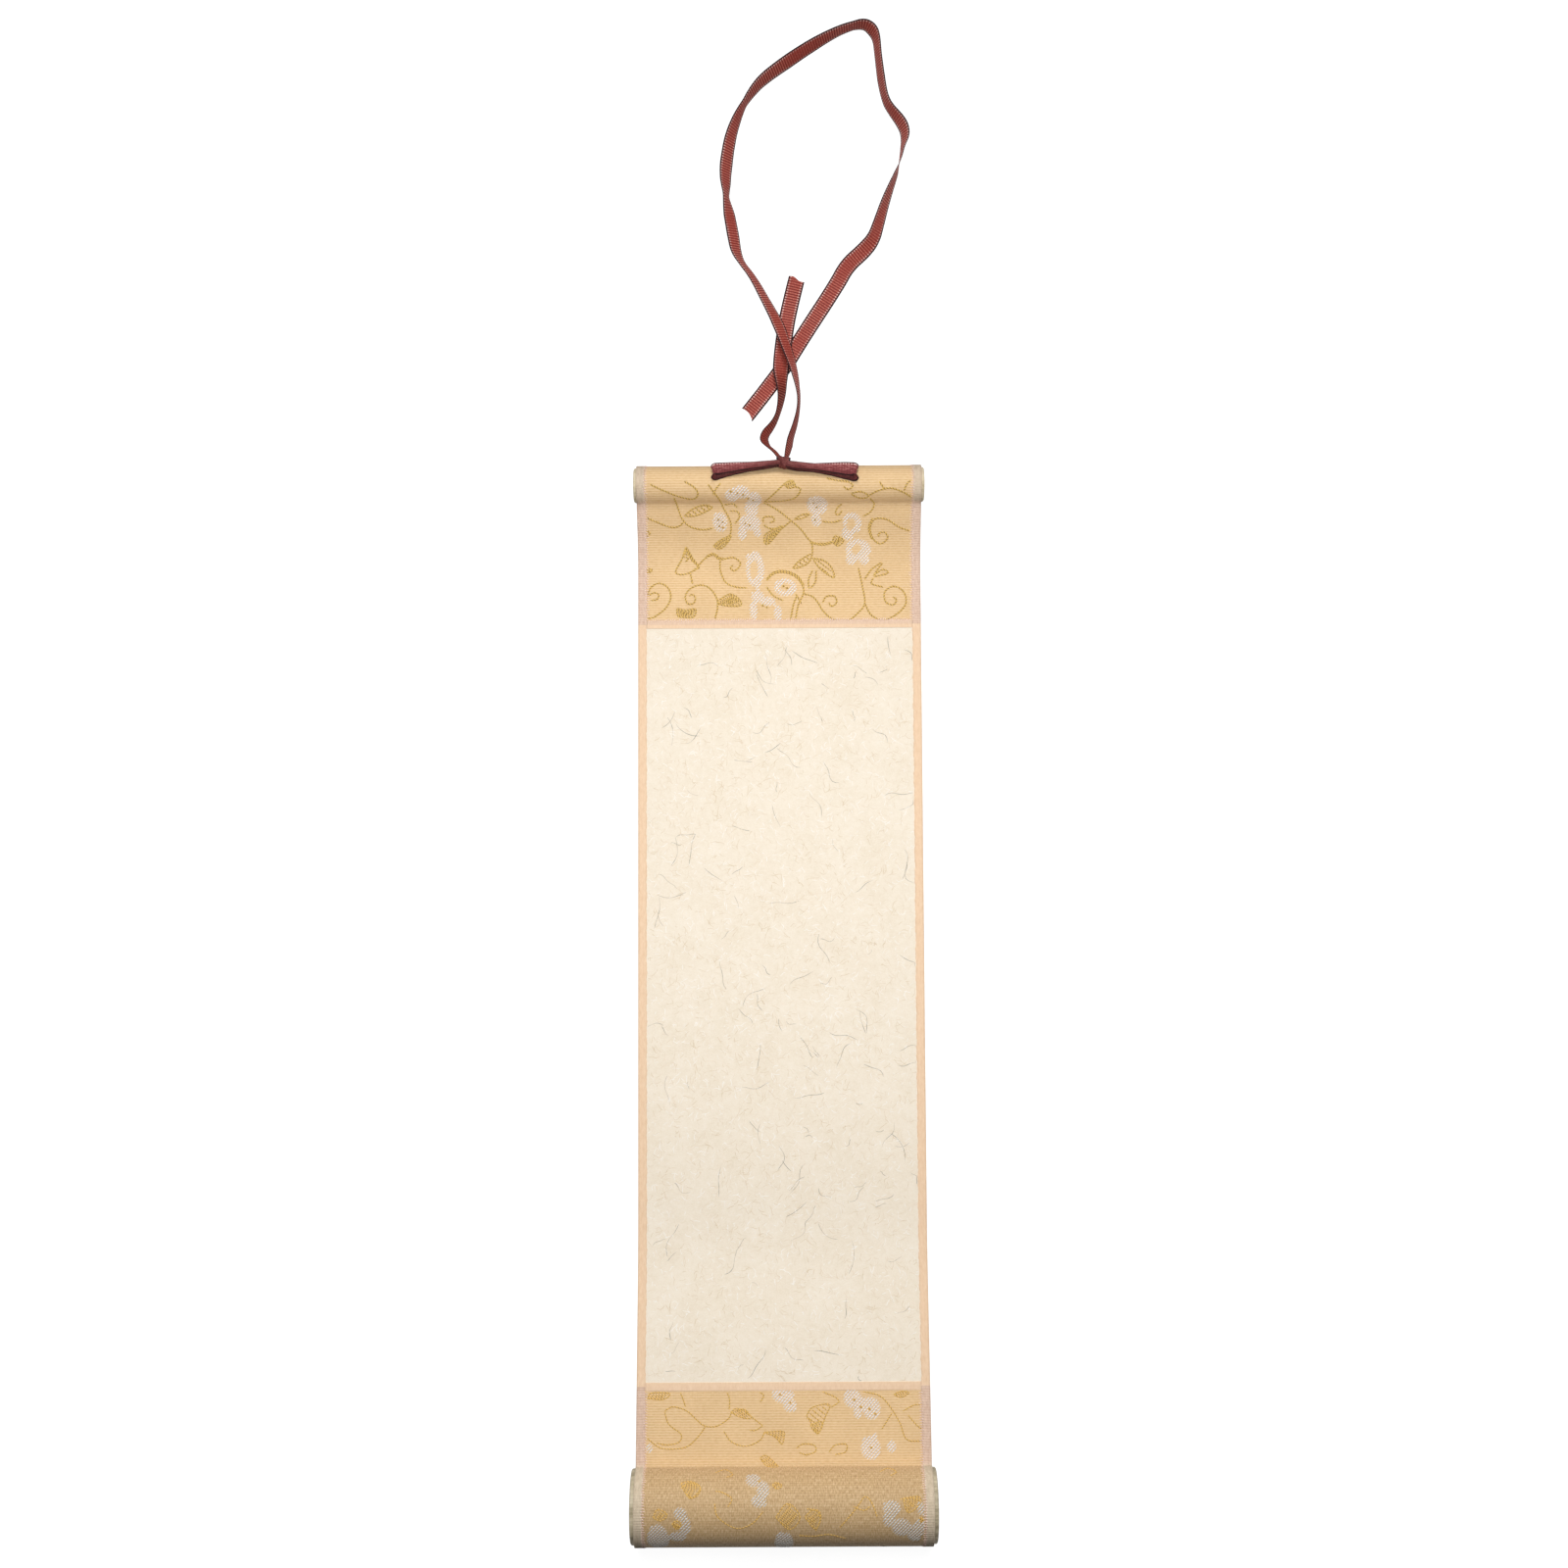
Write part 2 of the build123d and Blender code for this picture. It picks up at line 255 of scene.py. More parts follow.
def couched_threads(name, lines, half, rise, base, twist, finish, section=round_arch):
    """Threads on the cloth: a low arch carried along each line, swelling as a twisted thread does."""
    points, uv, faces, count = [], [], [], 0
    across, arch = section
    for line in lines:
        run = np.gradient(line, axis=0)
        run /= np.linalg.norm(run, axis=1, keepdims=True) + 1e-9
        far = way_along(line)
        swell = 1 + twist * np.sin(2 * pi * far / thread_turn)
        ends = np.clip(np.minimum(far, far[-1] - far) / half, 0.25, 1)
        wide = (half * swell * ends)[:, None] * across
        x = line[:, :1] - run[:, 1:] * wide
        s = line[:, 1:] + run[:, :1] * wide
        points.append(on_sheet(x, s, base + rise * (swell * ends)[:, None] * arch).reshape(-1, 3))
        uv.append(np.stack(np.broadcast_arrays(across, far[:, None]), -1).reshape(-1, 2))
        faces.append(grid_faces(len(line), len(across), turned=True, start=count))
        count += len(across) * len(line)
    make_piece(name, np.concatenate(points), np.concatenate(faces), finish, np.concatenate(uv))


# Finishes


def colour(r, g, b):
    """Linear colour from an everyday 0 to 255 one."""
    c = np.array([r, g, b]) / 255.0
    return (*np.where(c <= 0.04045, c / 12.92, ((c + 0.055) / 1.055) ** 2.4).tolist(), 1.0)


class Finish:
    """A procedural finish: a node tree with short calls to add to it."""

    def __init__(self, name, roughness, specular=0.3, sheen=0.0):
        self.material = bpy.data.materials.new(name)
        self.material.use_nodes = True
        self.tree = self.material.node_tree
        self.shader = self.tree.nodes["Principled BSDF"]
        self.shader.inputs["Roughness"].default_value = roughness
        self.shader.inputs["Specular IOR Level"].default_value = specular
        if sheen:
            self.shader.inputs["Sheen Weight"].default_value = sheen

    def add(self, kind, out, inputs=None, **settings):
        """A node with its settings and inputs, a socket or a plain value each; gives its named output."""
        made = self.tree.nodes.new(kind)
        for key, value in settings.items():
            setattr(made, key, value)
        for key, value in (inputs or {}).items():
            if isinstance(value, bpy.types.NodeSocket):
                self.tree.links.new(value, made.inputs[key])
            else:
                made.inputs[key].default_value = value
        return made.outputs[out]

    def sum(self, operation, a, b=0.0, c=0.0, clamp=False):
        """One step of arithmetic on two or three values."""
        return self.add(
            "ShaderNodeMath", 0, {0: a, 1: b, 2: c}, operation=operation, use_clamp=clamp
        )

    def own_map(self):
        """The piece's own map, as its two numbers in millimetres: across and along."""
        uv = self.add("ShaderNodeUVMap", "UV", uv_map="lay")
        parts = self.tree.nodes.new("ShaderNodeSeparateXYZ")
        self.tree.links.new(uv, parts.inputs[0])
        return parts.outputs[0], parts.outputs[1]

    def place(self):
        """Object coordinates."""
        return self.add("ShaderNodeTexCoord", "Object")

    def stretched_place(self, scale):
        """Object coordinates, each of the three times its own number."""
        return self.add("ShaderNodeMapping", 0, {"Vector": self.place(), "Scale": scale})

    def mark(self, name):
        """A mark kept on the piece's points."""
        return self.add("ShaderNodeAttribute", "Fac", attribute_name=name)

    def vector(self, x, y, z=0.0):
        """Three numbers as one place."""
        return self.add("ShaderNodeCombineXYZ", 0, {0: x, 1: y, 2: z})

    def noise(self, vector, scale, detail=3.0, roughness=0.55):
        """Cloudy noise from 0 to 1."""
        inputs = {"Vector": vector, "Scale": scale, "Detail": detail, "Roughness": roughness}
        return self.add("ShaderNodeTexNoise", 0, inputs)

    def ramp(self, value, stops):
        """Colour by value, between stops of (place, colour)."""
        shade = self.add("ShaderNodeValToRGB", 0, {0: value})
        elements = shade.node.color_ramp.elements
        elements[0].position, elements[0].color = stops[0]
        elements[1].position, elements[1].color = stops[-1]
        for place, middle in stops[1:-1]:
            elements.new(place).color = middle
        return shade

    def mix(self, value, a, b, blend="MIX"):
        """Blend of two colours by a value."""
        return self.add("ShaderNodeMix", 2, {0: value, 6: a, 7: b}, data_type="RGBA", blend_type=blend)

    def finish(self, base, height=None, strength=0.3, depth=0.0001):
        """Join colour and relief to the shader."""
        self.tree.links.new(base, self.shader.inputs["Base Color"])
        if height is not None:
            inputs = {"Height": height, "Strength": strength, "Distance": depth}
            self.tree.links.new(self.add("ShaderNodeBump", "Normal", inputs), self.shader.inputs["Normal"])
        return self.material


rib_pitch, warp_pitch = 0.69, 0.42


def brocade_finish():
    """Peach-gold silk: pale ribs with darker grooves, slubs along each rib, grainy on the bottom rod, where a
    darker copy of its colours paints shade.
    """
    f = Finish("brocade_ground", 0.62, 0.25, 0.1)
    x, s = f.own_map()
    wander = f.noise(f.vector(f.sum("MULTIPLY", x, 0.12), s), 0.9)
    rib = f.sum("SINE", f.sum("MULTIPLY_ADD", s, 2 * pi / rib_pitch, f.sum("MULTIPLY", wander, 0.5)))
    slub = f.noise(f.vector(f.sum("MULTIPLY", x, 0.9), f.sum("MULTIPLY", s, 2.8)), 1.0, 5.0, 0.75)
    grain = f.noise(f.vector(f.sum("MULTIPLY", x, 3.2), f.sum("MULTIPLY", s, 0.9)), 1.0, 4.0, 0.7)
    cloud = f.noise(f.vector(x, s), 0.08)
    weave = f.sum("MULTIPLY_ADD", rib, 0.11, f.sum("MULTIPLY_ADD", slub, 0.75, 0.12))
    rough = f.sum("MULTIPLY_ADD", rib, 0.05, f.sum("MULTIPLY_ADD", grain, 1.3, -0.16))
    flat_shades = [(0.2, colour(208, 163, 106)), (0.5, colour(234, 199, 150)), (0.8, colour(248, 220, 180))]
    painted_shade_stops = [(0.2, colour(168, 132, 87)), (0.5, colour(204, 171, 126)), (0.8, colour(232, 207, 169))]
    cloud_shades = [(0.3, colour(232, 228, 222)), (0.7, colour(255, 255, 255))]
    # Painted shade: the cloth rolled up on the bottom rod takes the darker stops
    base = f.mix(f.mark("unshaded"), f.ramp(rough, painted_shade_stops), f.ramp(weave, flat_shades))
    base = f.mix(0.35, base, f.ramp(cloud, cloud_shades), "MULTIPLY")
    warp = f.sum("SINE", f.sum("MULTIPLY", x, 2 * pi / warp_pitch))
    height = f.sum("MULTIPLY_ADD", warp, 0.2, f.sum("ADD", slub, grain))
    return f.finish(base, height, 0.35, 0.00012)


def thread_finish(name, dark, light, roughness):
    """Twisted thread: short slanting strokes along its length, dark in the turns and light on the crowns."""
    f = Finish(name, roughness, 0.4)
    across, far = f.own_map()
    turn = f.sum("SINE", f.sum("MULTIPLY_ADD", far, 2 * pi / thread_turn, f.sum("MULTIPLY", across, 1.4)))
    fleck = f.noise(f.place(), 1800.0)
    value = f.sum("MULTIPLY_ADD", turn, 0.4, f.sum("MULTIPLY_ADD", fleck, 0.5, 0.25))
    return f.finish(f.ramp(value, [(0.15, dark), (0.75, light)]), value, 0.3, 0.0001)


def tape_finish():
    """Thin peach paper tape: smooth over the writing paper, pinker over the brocade, cream on the rods and
    painted darker there as painted shade.
    """
    f = Finish("edge_tape", 0.8, 0.2)
    x, s = f.own_map()
    fibre = f.noise(f.vector(x, f.sum("MULTIPLY", s, 0.35)), 1.6, 4.0, 0.65)
    weave = f.sum("SINE", f.sum("MULTIPLY", s, 2 * pi / rib_pitch))
    over = f.mark("over")
    fine = f.ramp(fibre, [(0.3, colour(234, 200, 165)), (0.7, colour(244, 214, 183))])
    woven_shades = [(0.25, colour(208, 174, 150)), (0.75, colour(234, 206, 186))]
    woven = f.ramp(f.sum("MULTIPLY_ADD", weave, 0.12, fibre), woven_shades)
    # Painted shade: the tape is painted in a darker cream on the rods
    rolled_shaded = f.ramp(fibre, [(0.25, colour(194, 176, 149)), (0.75, colour(224, 207, 183))])
    base = f.mix(f.mark("unshaded"), rolled_shaded, f.mix(over, fine, woven))
    height = f.sum("MULTIPLY_ADD", f.sum("MULTIPLY", weave, over), 0.3, fibre)
    return f.finish(base, height, 0.3, 0.0001)


def writing_finish():
    """Handmade mulberry paper: cream, softly clouded, with flecks of pulp and a fine grain."""
    f = Finish("mulberry_paper", 0.85, 0.2)
    at = f.place()
    cloud = f.noise(at, 90.0, 4.0, 0.55)
    pulp = f.noise(at, 700.0, 5.0, 0.75)
    grain = f.noise(at, 2600.0, 3.0, 0.7)
    flecks = f.sum("MULTIPLY_ADD", pulp, 0.4, f.sum("MULTIPLY", grain, 0.35))
    value = f.sum("MULTIPLY_ADD", cloud, 0.25, flecks)
    shades = [(0.25, colour(230, 215, 190)), (0.5, colour(242, 230, 211)), (0.75, colour(250, 241, 227))]
    return f.finish(f.ramp(value, shades), f.sum("MULTIPLY_ADD", pulp, 0.7, cloud), 0.35, 0.00012)


def fibre_finish(name, dark, light):
    """Bark fibres, lighter and darker along their length."""
    f = Finish(name, 0.8, 0.2)
    fleck = f.noise(f.place(), 260.0)
    return f.finish(f.ramp(fleck, [(0.35, dark), (0.62, light)]))


def backing_finish():
    """Plain off-white backing paper with a soft pulp cloud."""
    f = Finish("backing_paper", 0.85, 0.2)
    pulp = f.noise(f.place(), 300.0, 5.0, 0.65)
    shades = [(0.3, colour(222, 210, 190)), (0.7, colour(240, 232, 216))]
    return f.finish(f.ramp(pulp, shades), pulp, 0.25, 0.0001)


def rod_finish(name, dark, middle, light):
    """Turned wood: noise stretched along the rod into grain, with finer pores in it."""
    f = Finish(name, 0.55, 0.35)
    grain = f.noise(f.stretched_place((60.0, 520.0, 520.0)), 1.0, 4.0, 0.6)
    pores = f.noise(f.stretched_place((300.0, 2400.0, 2400.0)), 1.0)
    value = f.sum("MULTIPLY_ADD", grain, 0.75, f.sum("MULTIPLY", pores, 0.25))
    base = f.ramp(value, [(0.3, dark), (0.5, middle), (0.7, light)])
    return f.finish(base, value, 0.2, 0.0001)


ribbon_rib = 0.76
stitch_row, selvedge_start = 0.73, 0.8


def ribbon_finish(name, dark, middle, light, ribbing, streak, contrast, sheen):
    """Red ribbon: ribs across, dark selvedges, pale stitches where it lies open, and painted shade where it is
    gathered or lies under another layer.
    """
    f = Finish(name, 0.55, 0.2)
    across, far = f.own_map()
    side = f.sum("ABSOLUTE", across)
    rib = f.sum("SINE", f.sum("MULTIPLY", far, 2 * pi / ribbon_rib))
    fleck = f.noise(f.vector(f.sum("MULTIPLY", across, 7.0), f.sum("MULTIPLY", far, streak)), 1.0, 4.0, 0.75)
    stretch = f.noise(f.vector(f.sum("MULTIPLY", far, 0.07), 3.0), 1.0, 2.0)
    clear = f.sum("MULTIPLY_ADD", stretch, 4.0, -1.4, clamp=True)
    ribs = f.sum("MULTIPLY", rib, f.sum("MULTIPLY_ADD", clear, ribbing, 0.35 * ribbing))
    # For the wine ribbon these long streaks at high contrast are painted highlights; on the rust ribbon they
    # are tone
    tone_and_glints = f.sum("MULTIPLY_ADD", fleck, contrast, 0.5 - 0.5 * contrast)
    # Painted light: sheen paints one edge of the ribbon lighter and the other darker
    value = f.sum("MULTIPLY_ADD", across, sheen, f.sum("ADD", ribs, tone_and_glints))
    body = f.ramp(value, [(0.15, dark), (0.5, middle), (0.9, light)])
    # Painted shade where the ribbon is gathered at the knot and on the bow's lower layer
    body = f.mix(f.mark("fold_shade"), body, colour(202, 196, 188), "MULTIPLY")
    off_row = f.sum("ABSOLUTE", f.sum("SUBTRACT", side, stitch_row))
    row = f.sum("SUBTRACT", 1.0, f.sum("MULTIPLY", off_row, 9.0), clamp=True)
    on_rib = f.sum("MULTIPLY_ADD", rib, 0.9, 0.4, clamp=True)
    stitch = f.sum("MULTIPLY", on_rib, f.sum("MULTIPLY", row, 2.5, clamp=True))
    seen = f.sum("MULTIPLY", f.mark("open"), f.sum("MULTIPLY_ADD", clear, 0.65, 0.3))
    body = f.mix(f.sum("MULTIPLY", stitch, seen), body, colour(236, 200, 192))
    edge = f.sum("MULTIPLY", f.sum("SUBTRACT", side, selvedge_start), 14.0, clamp=True)
    return f.finish(f.mix(edge, body, colour(34, 9, 14)), f.sum("ADD", value, row), 0.4, 0.00015)


brocade_cloth = brocade_finish()
gold_thread = thread_finish("gold_thread", colour(148, 110, 42), colour(220, 182, 102), 0.5)
bright_gold_thread = thread_finish("bright_gold_thread", colour(168, 124, 54), colour(228, 186, 100), 0.5)
white_thread = thread_finish("white_thread", colour(206, 196, 191), colour(246, 242, 240), 0.5)
# Painted shade: a greyer copy of the white thread, for the blossoms rolled up on the bottom rod
shaded_white_thread = thread_finish("shaded_white_thread", colour(176, 173, 168), colour(226, 224, 220), 0.5)
selvedge_thread = thread_finish("selvedge_thread", colour(214, 178, 158), colour(244, 218, 204), 0.7)
tape_paper = tape_finish()
mulberry_paper = writing_finish()
white_fibre = fibre_finish("white_fibre", colour(244, 234, 220), colour(254, 250, 244))
pale_fibre = fibre_finish("pale_fibre", colour(220, 200, 168), colour(240, 226, 206))
bark_fibre = fibre_finish("bark_fibre", colour(146, 136, 122), colour(216, 203, 184))
backing_paper = backing_finish()
pale_wood = rod_finish("pale_wood", colour(186, 168, 134), colour(216, 201, 170), colour(232, 220, 196))
# Painted shade: a darker copy of the pale wood, for the bottom rod, whose ends lie in shade
shaded_wood = rod_finish("shaded_wood", colour(104, 94, 70), colour(182, 170, 142), colour(220, 209, 184))
rust_ribbon = ribbon_finish(
    "rust_ribbon", colour(84, 20, 18), colour(154, 58, 47), colour(224, 136, 118),
    ribbing=0.2, streak=2.6, contrast=0.9, sheen=0.0,
)
# The bow's sheen and high contrast paint its highlights and shade
wine_ribbon = ribbon_finish(
    "wine_ribbon", colour(66, 20, 24), colour(130, 56, 57), colour(212, 146, 142),
    ribbing=0.03, streak=0.4, contrast=1.5, sheen=0.14,
)

for node, finish in (
    ("backing_sheet", backing_paper),
    ("writing_paper", mulberry_paper),
    ("top_rod", pale_wood),
    ("bottom_rod", shaded_wood),
):
    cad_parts[node].data.materials.clear()
    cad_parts[node].data.materials.append(finish)


# Ribbon tails: control points of each tail's line, in millimetres, and how far the ribbon leans at each one

bow_tilt = radians(12.0)
bow_back = np.array([0, cos(bow_tilt), -sin(bow_tilt)])
bow_out = np.array([0, sin(bow_tilt), cos(bow_tilt)])
bow_seat = np.array([1.3, *top_axis]) + bow_out * (top_wrap + panel_thickness + 0.05)
tail_exit = bow_seat + bow_back * 5.6 + bow_out * 0.75
ribbon_half, ribbon_thickness = 2.2, 0.22
tail_step, tail_overrun, cut_reach, knot_reach, lean_blur = 0.125, 4.0, 6.0, 14.0, 25

# Places across the ribbon from selvedge to selvedge, and the number of points in a ring round it
weft = np.linspace(-1, 1, 9)
ring_points = 2 * len(weft)

# Each row: place across, along and up, then the lean in degrees, 0 flat and 90 on edge
short_tail_rows = np.array([
    (*(tail_exit + (-0.75, -0.6, 0)), 30),
    (-0.5, 150.4, 9.8, 32), (-1.7, 152.0, 8.2, 40), (-3.1, 153.5, 6.4, 44), (-4.2, 155.4, 4.8, 30),
    (-3.8, 157.7, 3.4, 35), (-2.1, 159.8, 2.8, 50), (-0.6, 162.4, 2.4, 62), (0.4, 165.8, 2.1, 60),
    (1.0, 169.6, 2.0, 53), (0.8, 173.2, 1.6, 40), (0.7, 176.5, 1.4, 20), (1.0, 180.0, 1.4, 8),
    (1.6, 185.0, 1.4, 0), (2.9, 193.6, 0.8, 0), (5.4, 203.4, 0.5, 0),
])
long_tail_rows = np.array([
    (*(tail_exit + (0.6, -0.6, 0)), 50),
    (2.9, 152.7, 8.6, 50), (3.5, 155.9, 7.0, 58), (4.7, 159.8, 5.4, 62), (5.6, 164.0, 4.0, 70),
    (5.9, 168.4, 3.4, 73), (5.2, 172.8, 3.2, 68), (4.3, 177.0, 3.2, 60), (2.6, 182.2, 3.2, 50),
    (0.2, 189.3, 3.0, 42), (-2.6, 195.0, 2.4, 50), (-7.0, 203.4, 1.6, 58), (-10.6, 208.0, 1.2, 60),
    (-12.0, 211.2, 1.0, 48), (-12.7, 215.8, 1.0, 42), (-13.8, 222.0, 1.0, 45), (-14.8, 227.6, 1.0, 70),
    (-14.9, 231.8, 1.0, 50), (-14.8, 236.0, 1.0, 42), (-13.6, 244.0, 1.0, 48), (-11.8, 249.5, 1.4, 62),
    (-9.3, 254.6, 2.0, 79), (-6.9, 258.2, 1.6, 70), (-4.0, 261.6, 1.2, 62), (3.2, 267.0, 1.0, 55),
    (10.5, 271.8, 1.0, 61), (17.4, 275.6, 1.6, 74), (22.4, 277.4, 2.0, 81), (25.4, 277.8, 1.9, 72),
    (27.5, 276.4, 1.8, 60), (28.8, 274.0, 1.7, 66), (29.2, 268.7, 1.6, 68), (30.0, 261.5, 1.6, 66),
    (31.0, 256.0, 1.6, 70), (32.3, 253.0, 1.4, 70), (36.2, 248.2, 1.2, 58), (37.0, 244.6, 1.2, 60),
    (35.9, 240.6, 1.8, 76), (35.4, 237.6, 2.1, 82), (34.6, 234.6, 2.1, 100), (31.2, 226.2, 1.6, 118),
    (28.9, 218.8, 1.2, 132), (27.5, 214.6, 0.9, 142),
    (24.6, 211.3, 0.6, 160), (19.8, 207.2, 0.4, 172), (16.6, 201.2, 0.4, 180), (6.4, 185.6, 0.4, 180),
    (1.0, 176.5, 0.4, 180), (-9.0, 163.9, 0.4, 180),
])


def tail_line(name, route):
    """Points of the smooth line whose control points are the route's, read from the curve itself."""
    curve = bpy.data.curves.new(name + "_line", "CURVE")
    curve.dimensions = "3D"
    curve.resolution_u = 24
    spline = curve.splines.new("NURBS")
    spline.points.add(len(route) - 1)
    spline.points.foreach_set("co", np.c_[route * MM, np.ones(len(route))].ravel())
    spline.order_u = 3
    spline.use_endpoint_u = True
    holder = bpy.data.objects.new(name + "_line", curve)
    mesh = bpy.data.meshes.new_from_object(holder)
    points = np.empty(3 * len(mesh.vertices))
    mesh.vertices.foreach_get("co", points)
    bpy.data.objects.remove(holder)
    bpy.data.curves.remove(curve)
    bpy.data.meshes.remove(mesh)
    return points.reshape(-1, 3) / MM


def ribbon_band(centre, across, face, half, far, cup, rib_height):
    """Closed ribbon about a line: each face spread by half along across, ribbed along far, arched by cup."""
    rib = rib_height * np.cos(2 * pi * far / ribbon_rib)
    thick = (ribbon_thickness / 2 + rib) * np.clip((1 - np.abs(weft)) * 6, 0.35, 1)
    arch = cup * (1 - weft**2)
    spread = centre + across * (np.broadcast_to(half, far.shape) * weft)[..., None]
    front = spread + face * (arch + thick)[..., None]
    back = spread + face * (arch - thick)[..., None]
    points = np.concatenate([front, back[:, ::-1]], 1)
    flat = np.stack([np.broadcast_to(weft, far.shape), far], -1)
    uv = np.concatenate([flat, flat[:, ::-1]], 1)
    sides = grid_faces(len(far), ring_points, round_columns=True, turned=True)
    faces = np.concatenate([sides, strip_caps(len(far), len(weft))[:, ::-1]])
    return points.reshape(-1, 3), uv.reshape(-1, 2), faces


def ribbon_tail(name, rows, cut, gather, node):
    """A tail of the ribbon along its line: it leans as given at each control point and clears the table.

    gather gives its width by distance from the knot, cut how far each place across reaches past its end.
    """
    route, lean = rows[:, :3], rows[:, 3]
    line = tail_line(name, route)
    far = way_along(line)
    length = far[-1]
    controls = np.clip(np.arange(len(route)) - 0.5, 0, len(route) - 2)
    at_control = np.interp(controls, np.linspace(0, len(route) - 2, len(line)), far)
    line = np.vstack([line, line[-1] + tail_overrun * unit(line[-1] - line[-2])])
    far = np.r_[far, length + tail_overrun]
    even = np.linspace(0, length, int(length / tail_step))
    dense = np.r_[even, length + tail_overrun]
    blur = np.hanning(lean_blur) / np.hanning(lean_blur).sum()
    lean = np.pad(np.interp(dense, at_control, lean), lean_blur // 2, "edge")
    lean = np.radians(np.convolve(lean, blur, "valid"))
    centre = read_along(dense, far, line)
    low = ribbon_half * np.interp(dense, *gather) * np.abs(np.sin(lean)) + ribbon_thickness
    centre[:, 2] = np.maximum(centre[:, 2], low * np.clip(dense / knot_reach, 0, 1))
    run = unit(np.gradient(centre, axis=0))
    left = unit(np.cross([0, 0, 1.0], run))
    up = np.cross(run, left)
    across = left * np.cos(lean)[:, None] + up * np.sin(lean)[:, None]
    near_end = np.clip((even[:, None] - length + cut_reach) / cut_reach, 0, 1)
    reach = even[:, None] + cut(weft) * near_end**2
    middle = read_along(reach, dense, centre)
    sides = unit(read_along(reach, dense, across))
    face = unit(np.cross(read_along(reach, dense, run), sides))
    half = ribbon_half * np.interp(reach, *gather)
    points, uv, faces = ribbon_band(middle, sides, face, half, reach, cup=0.12, rib_height=0.02)
    opened = np.repeat(np.interp(even, gather[0][-2:], [0.0, 1.0]), ring_points)
    # Painted shade near the knot, where the tail is gathered
    marks = {"open": opened, "fold_shade": 1 - opened}
    piece = make_piece(name, points, faces, rust_ribbon, uv, marks, (node,))


ribbon_tail(
    "ribbon_tail_short", short_tail_rows, lambda w: 0.55 * w + 0.25 * np.sin(4 * w),
    ([0, 6.5, 10, 14, 20, 27, 33], [0.3, 0.34, 0.64, 0.66, 0.6, 0.9, 1.09]), "ribbon_short_tail",
)
ribbon_tail(
    "ribbon_tail_long", long_tail_rows, lambda w: -0.6 * w - 0.8 * (1 - w**2),
    ([0, 2.5, 6, 11, 19, 27], [0.3, 0.55, 0.72, 0.66, 0.62, 1.07]), "ribbon_long_tail",
)


# Bow: two flat loops and the knot, on a tangent plane a little behind the rod's crown

knot_back, knot_up, loop_bend = 3.8, 1.35, 0.62


def bow_place(a, b, c):
    """Place in the bow's own directions: a across, b back over the rod, c out from it."""
    a, b, c = np.broadcast_arrays(a, b, c)
    return bow_seat + a[..., None] * np.array([1.0, 0, 0]) + b[..., None] * bow_back + c[..., None] * bow_out


def bow_loop(hand, run, wide, drop, power):
    """One loop: out from the knot, round a small half circle and back above, gathered at the knot.

    It comes forward from the knot by drop times a power of the way out, the lower layer a little further.
    """
    length = 2 * run + pi * loop_bend
    far = np.linspace(0, length, 420)
    turn = np.clip((far - run) / loop_bend, 0, pi)
    a = np.where(turn < pi, run + loop_bend * np.sin(turn), length - far)
    a = np.where(far < run, far, a)
    layer = 0.5 - 0.5 * np.cos(turn)
    out = np.clip(a / (run + loop_bend), 0, 1)
    b = knot_back - drop * out**power - (1 - layer) * 1.15 * out**4
    c = 0.42 + 2 * loop_bend * layer + layer * 0.7 * np.sin(pi * out) * out + 0.5 * (1 - out) ** 2
    centre = bow_place(hand * a, b, c)
    ahead = unit(np.gradient(centre, axis=0))
    lean = np.radians(np.interp(a, [0, 6, 20], [4, 12, 14]))[:, None]
    side = bow_back * np.cos(lean) + bow_out * np.sin(lean)
    side = unit(side - ahead * (side * ahead).sum(1, keepdims=True))
    face = np.cross(ahead, side)
    half = np.interp(a, *wide)[:, None]
    grid = np.broadcast_to(far[:, None], (len(far), len(weft)))
    upper = layer > 0.5
    cup = (hand * (0.35 * (1 - out) + 0.15) * np.where(upper, -1, 1))[:, None]
    band = ribbon_band(centre[:, None], side[:, None], face[:, None], half, grid, cup, rib_height=0.003)
    back_edge = np.r_[weft, weft[::-1]] > 0
    opened = (np.clip((a - 9) / 4, 0, 1) * upper)[:, None] * back_edge
    # Painted shade near the knot and over the whole lower layer, which lies in the upper layer's shadow
    fold_shade = np.maximum(np.clip(1 - a / 12, 0, 1), 1 - layer)
    return *band, opened.ravel(), np.repeat(fold_shade, ring_points)


def knot_band(a0, wide, b_half, c_half, slant, phase):
    """A turn of the knot: a ribbon ring round the gathers, pinched at its sides and slanting by slant."""
    turn = np.linspace(0, 2 * pi, 97)[:, None]
    w = np.linspace(-1, 1, 11)
    pinch = 1 - 0.28 * np.abs(w) ** 2.2
    fold = 1 + 0.05 * np.cos(5 * w + phase) * np.sin(turn) ** 2
    a = a0 + wide * w + slant * np.cos(turn)
    b = knot_back + b_half * np.cos(turn) * pinch * fold
    c = knot_up + c_half * np.sin(turn) * pinch * fold
    uv = np.stack(np.broadcast_arrays(w, 3.2 * turn), -1)
    faces = grid_faces(len(turn), len(w))
    # The whole knot takes the painted shade of its gathers
    return bow_place(a, b, c).reshape(-1, 3), uv.reshape(-1, 2), faces, np.zeros(a.size), np.ones(a.size)


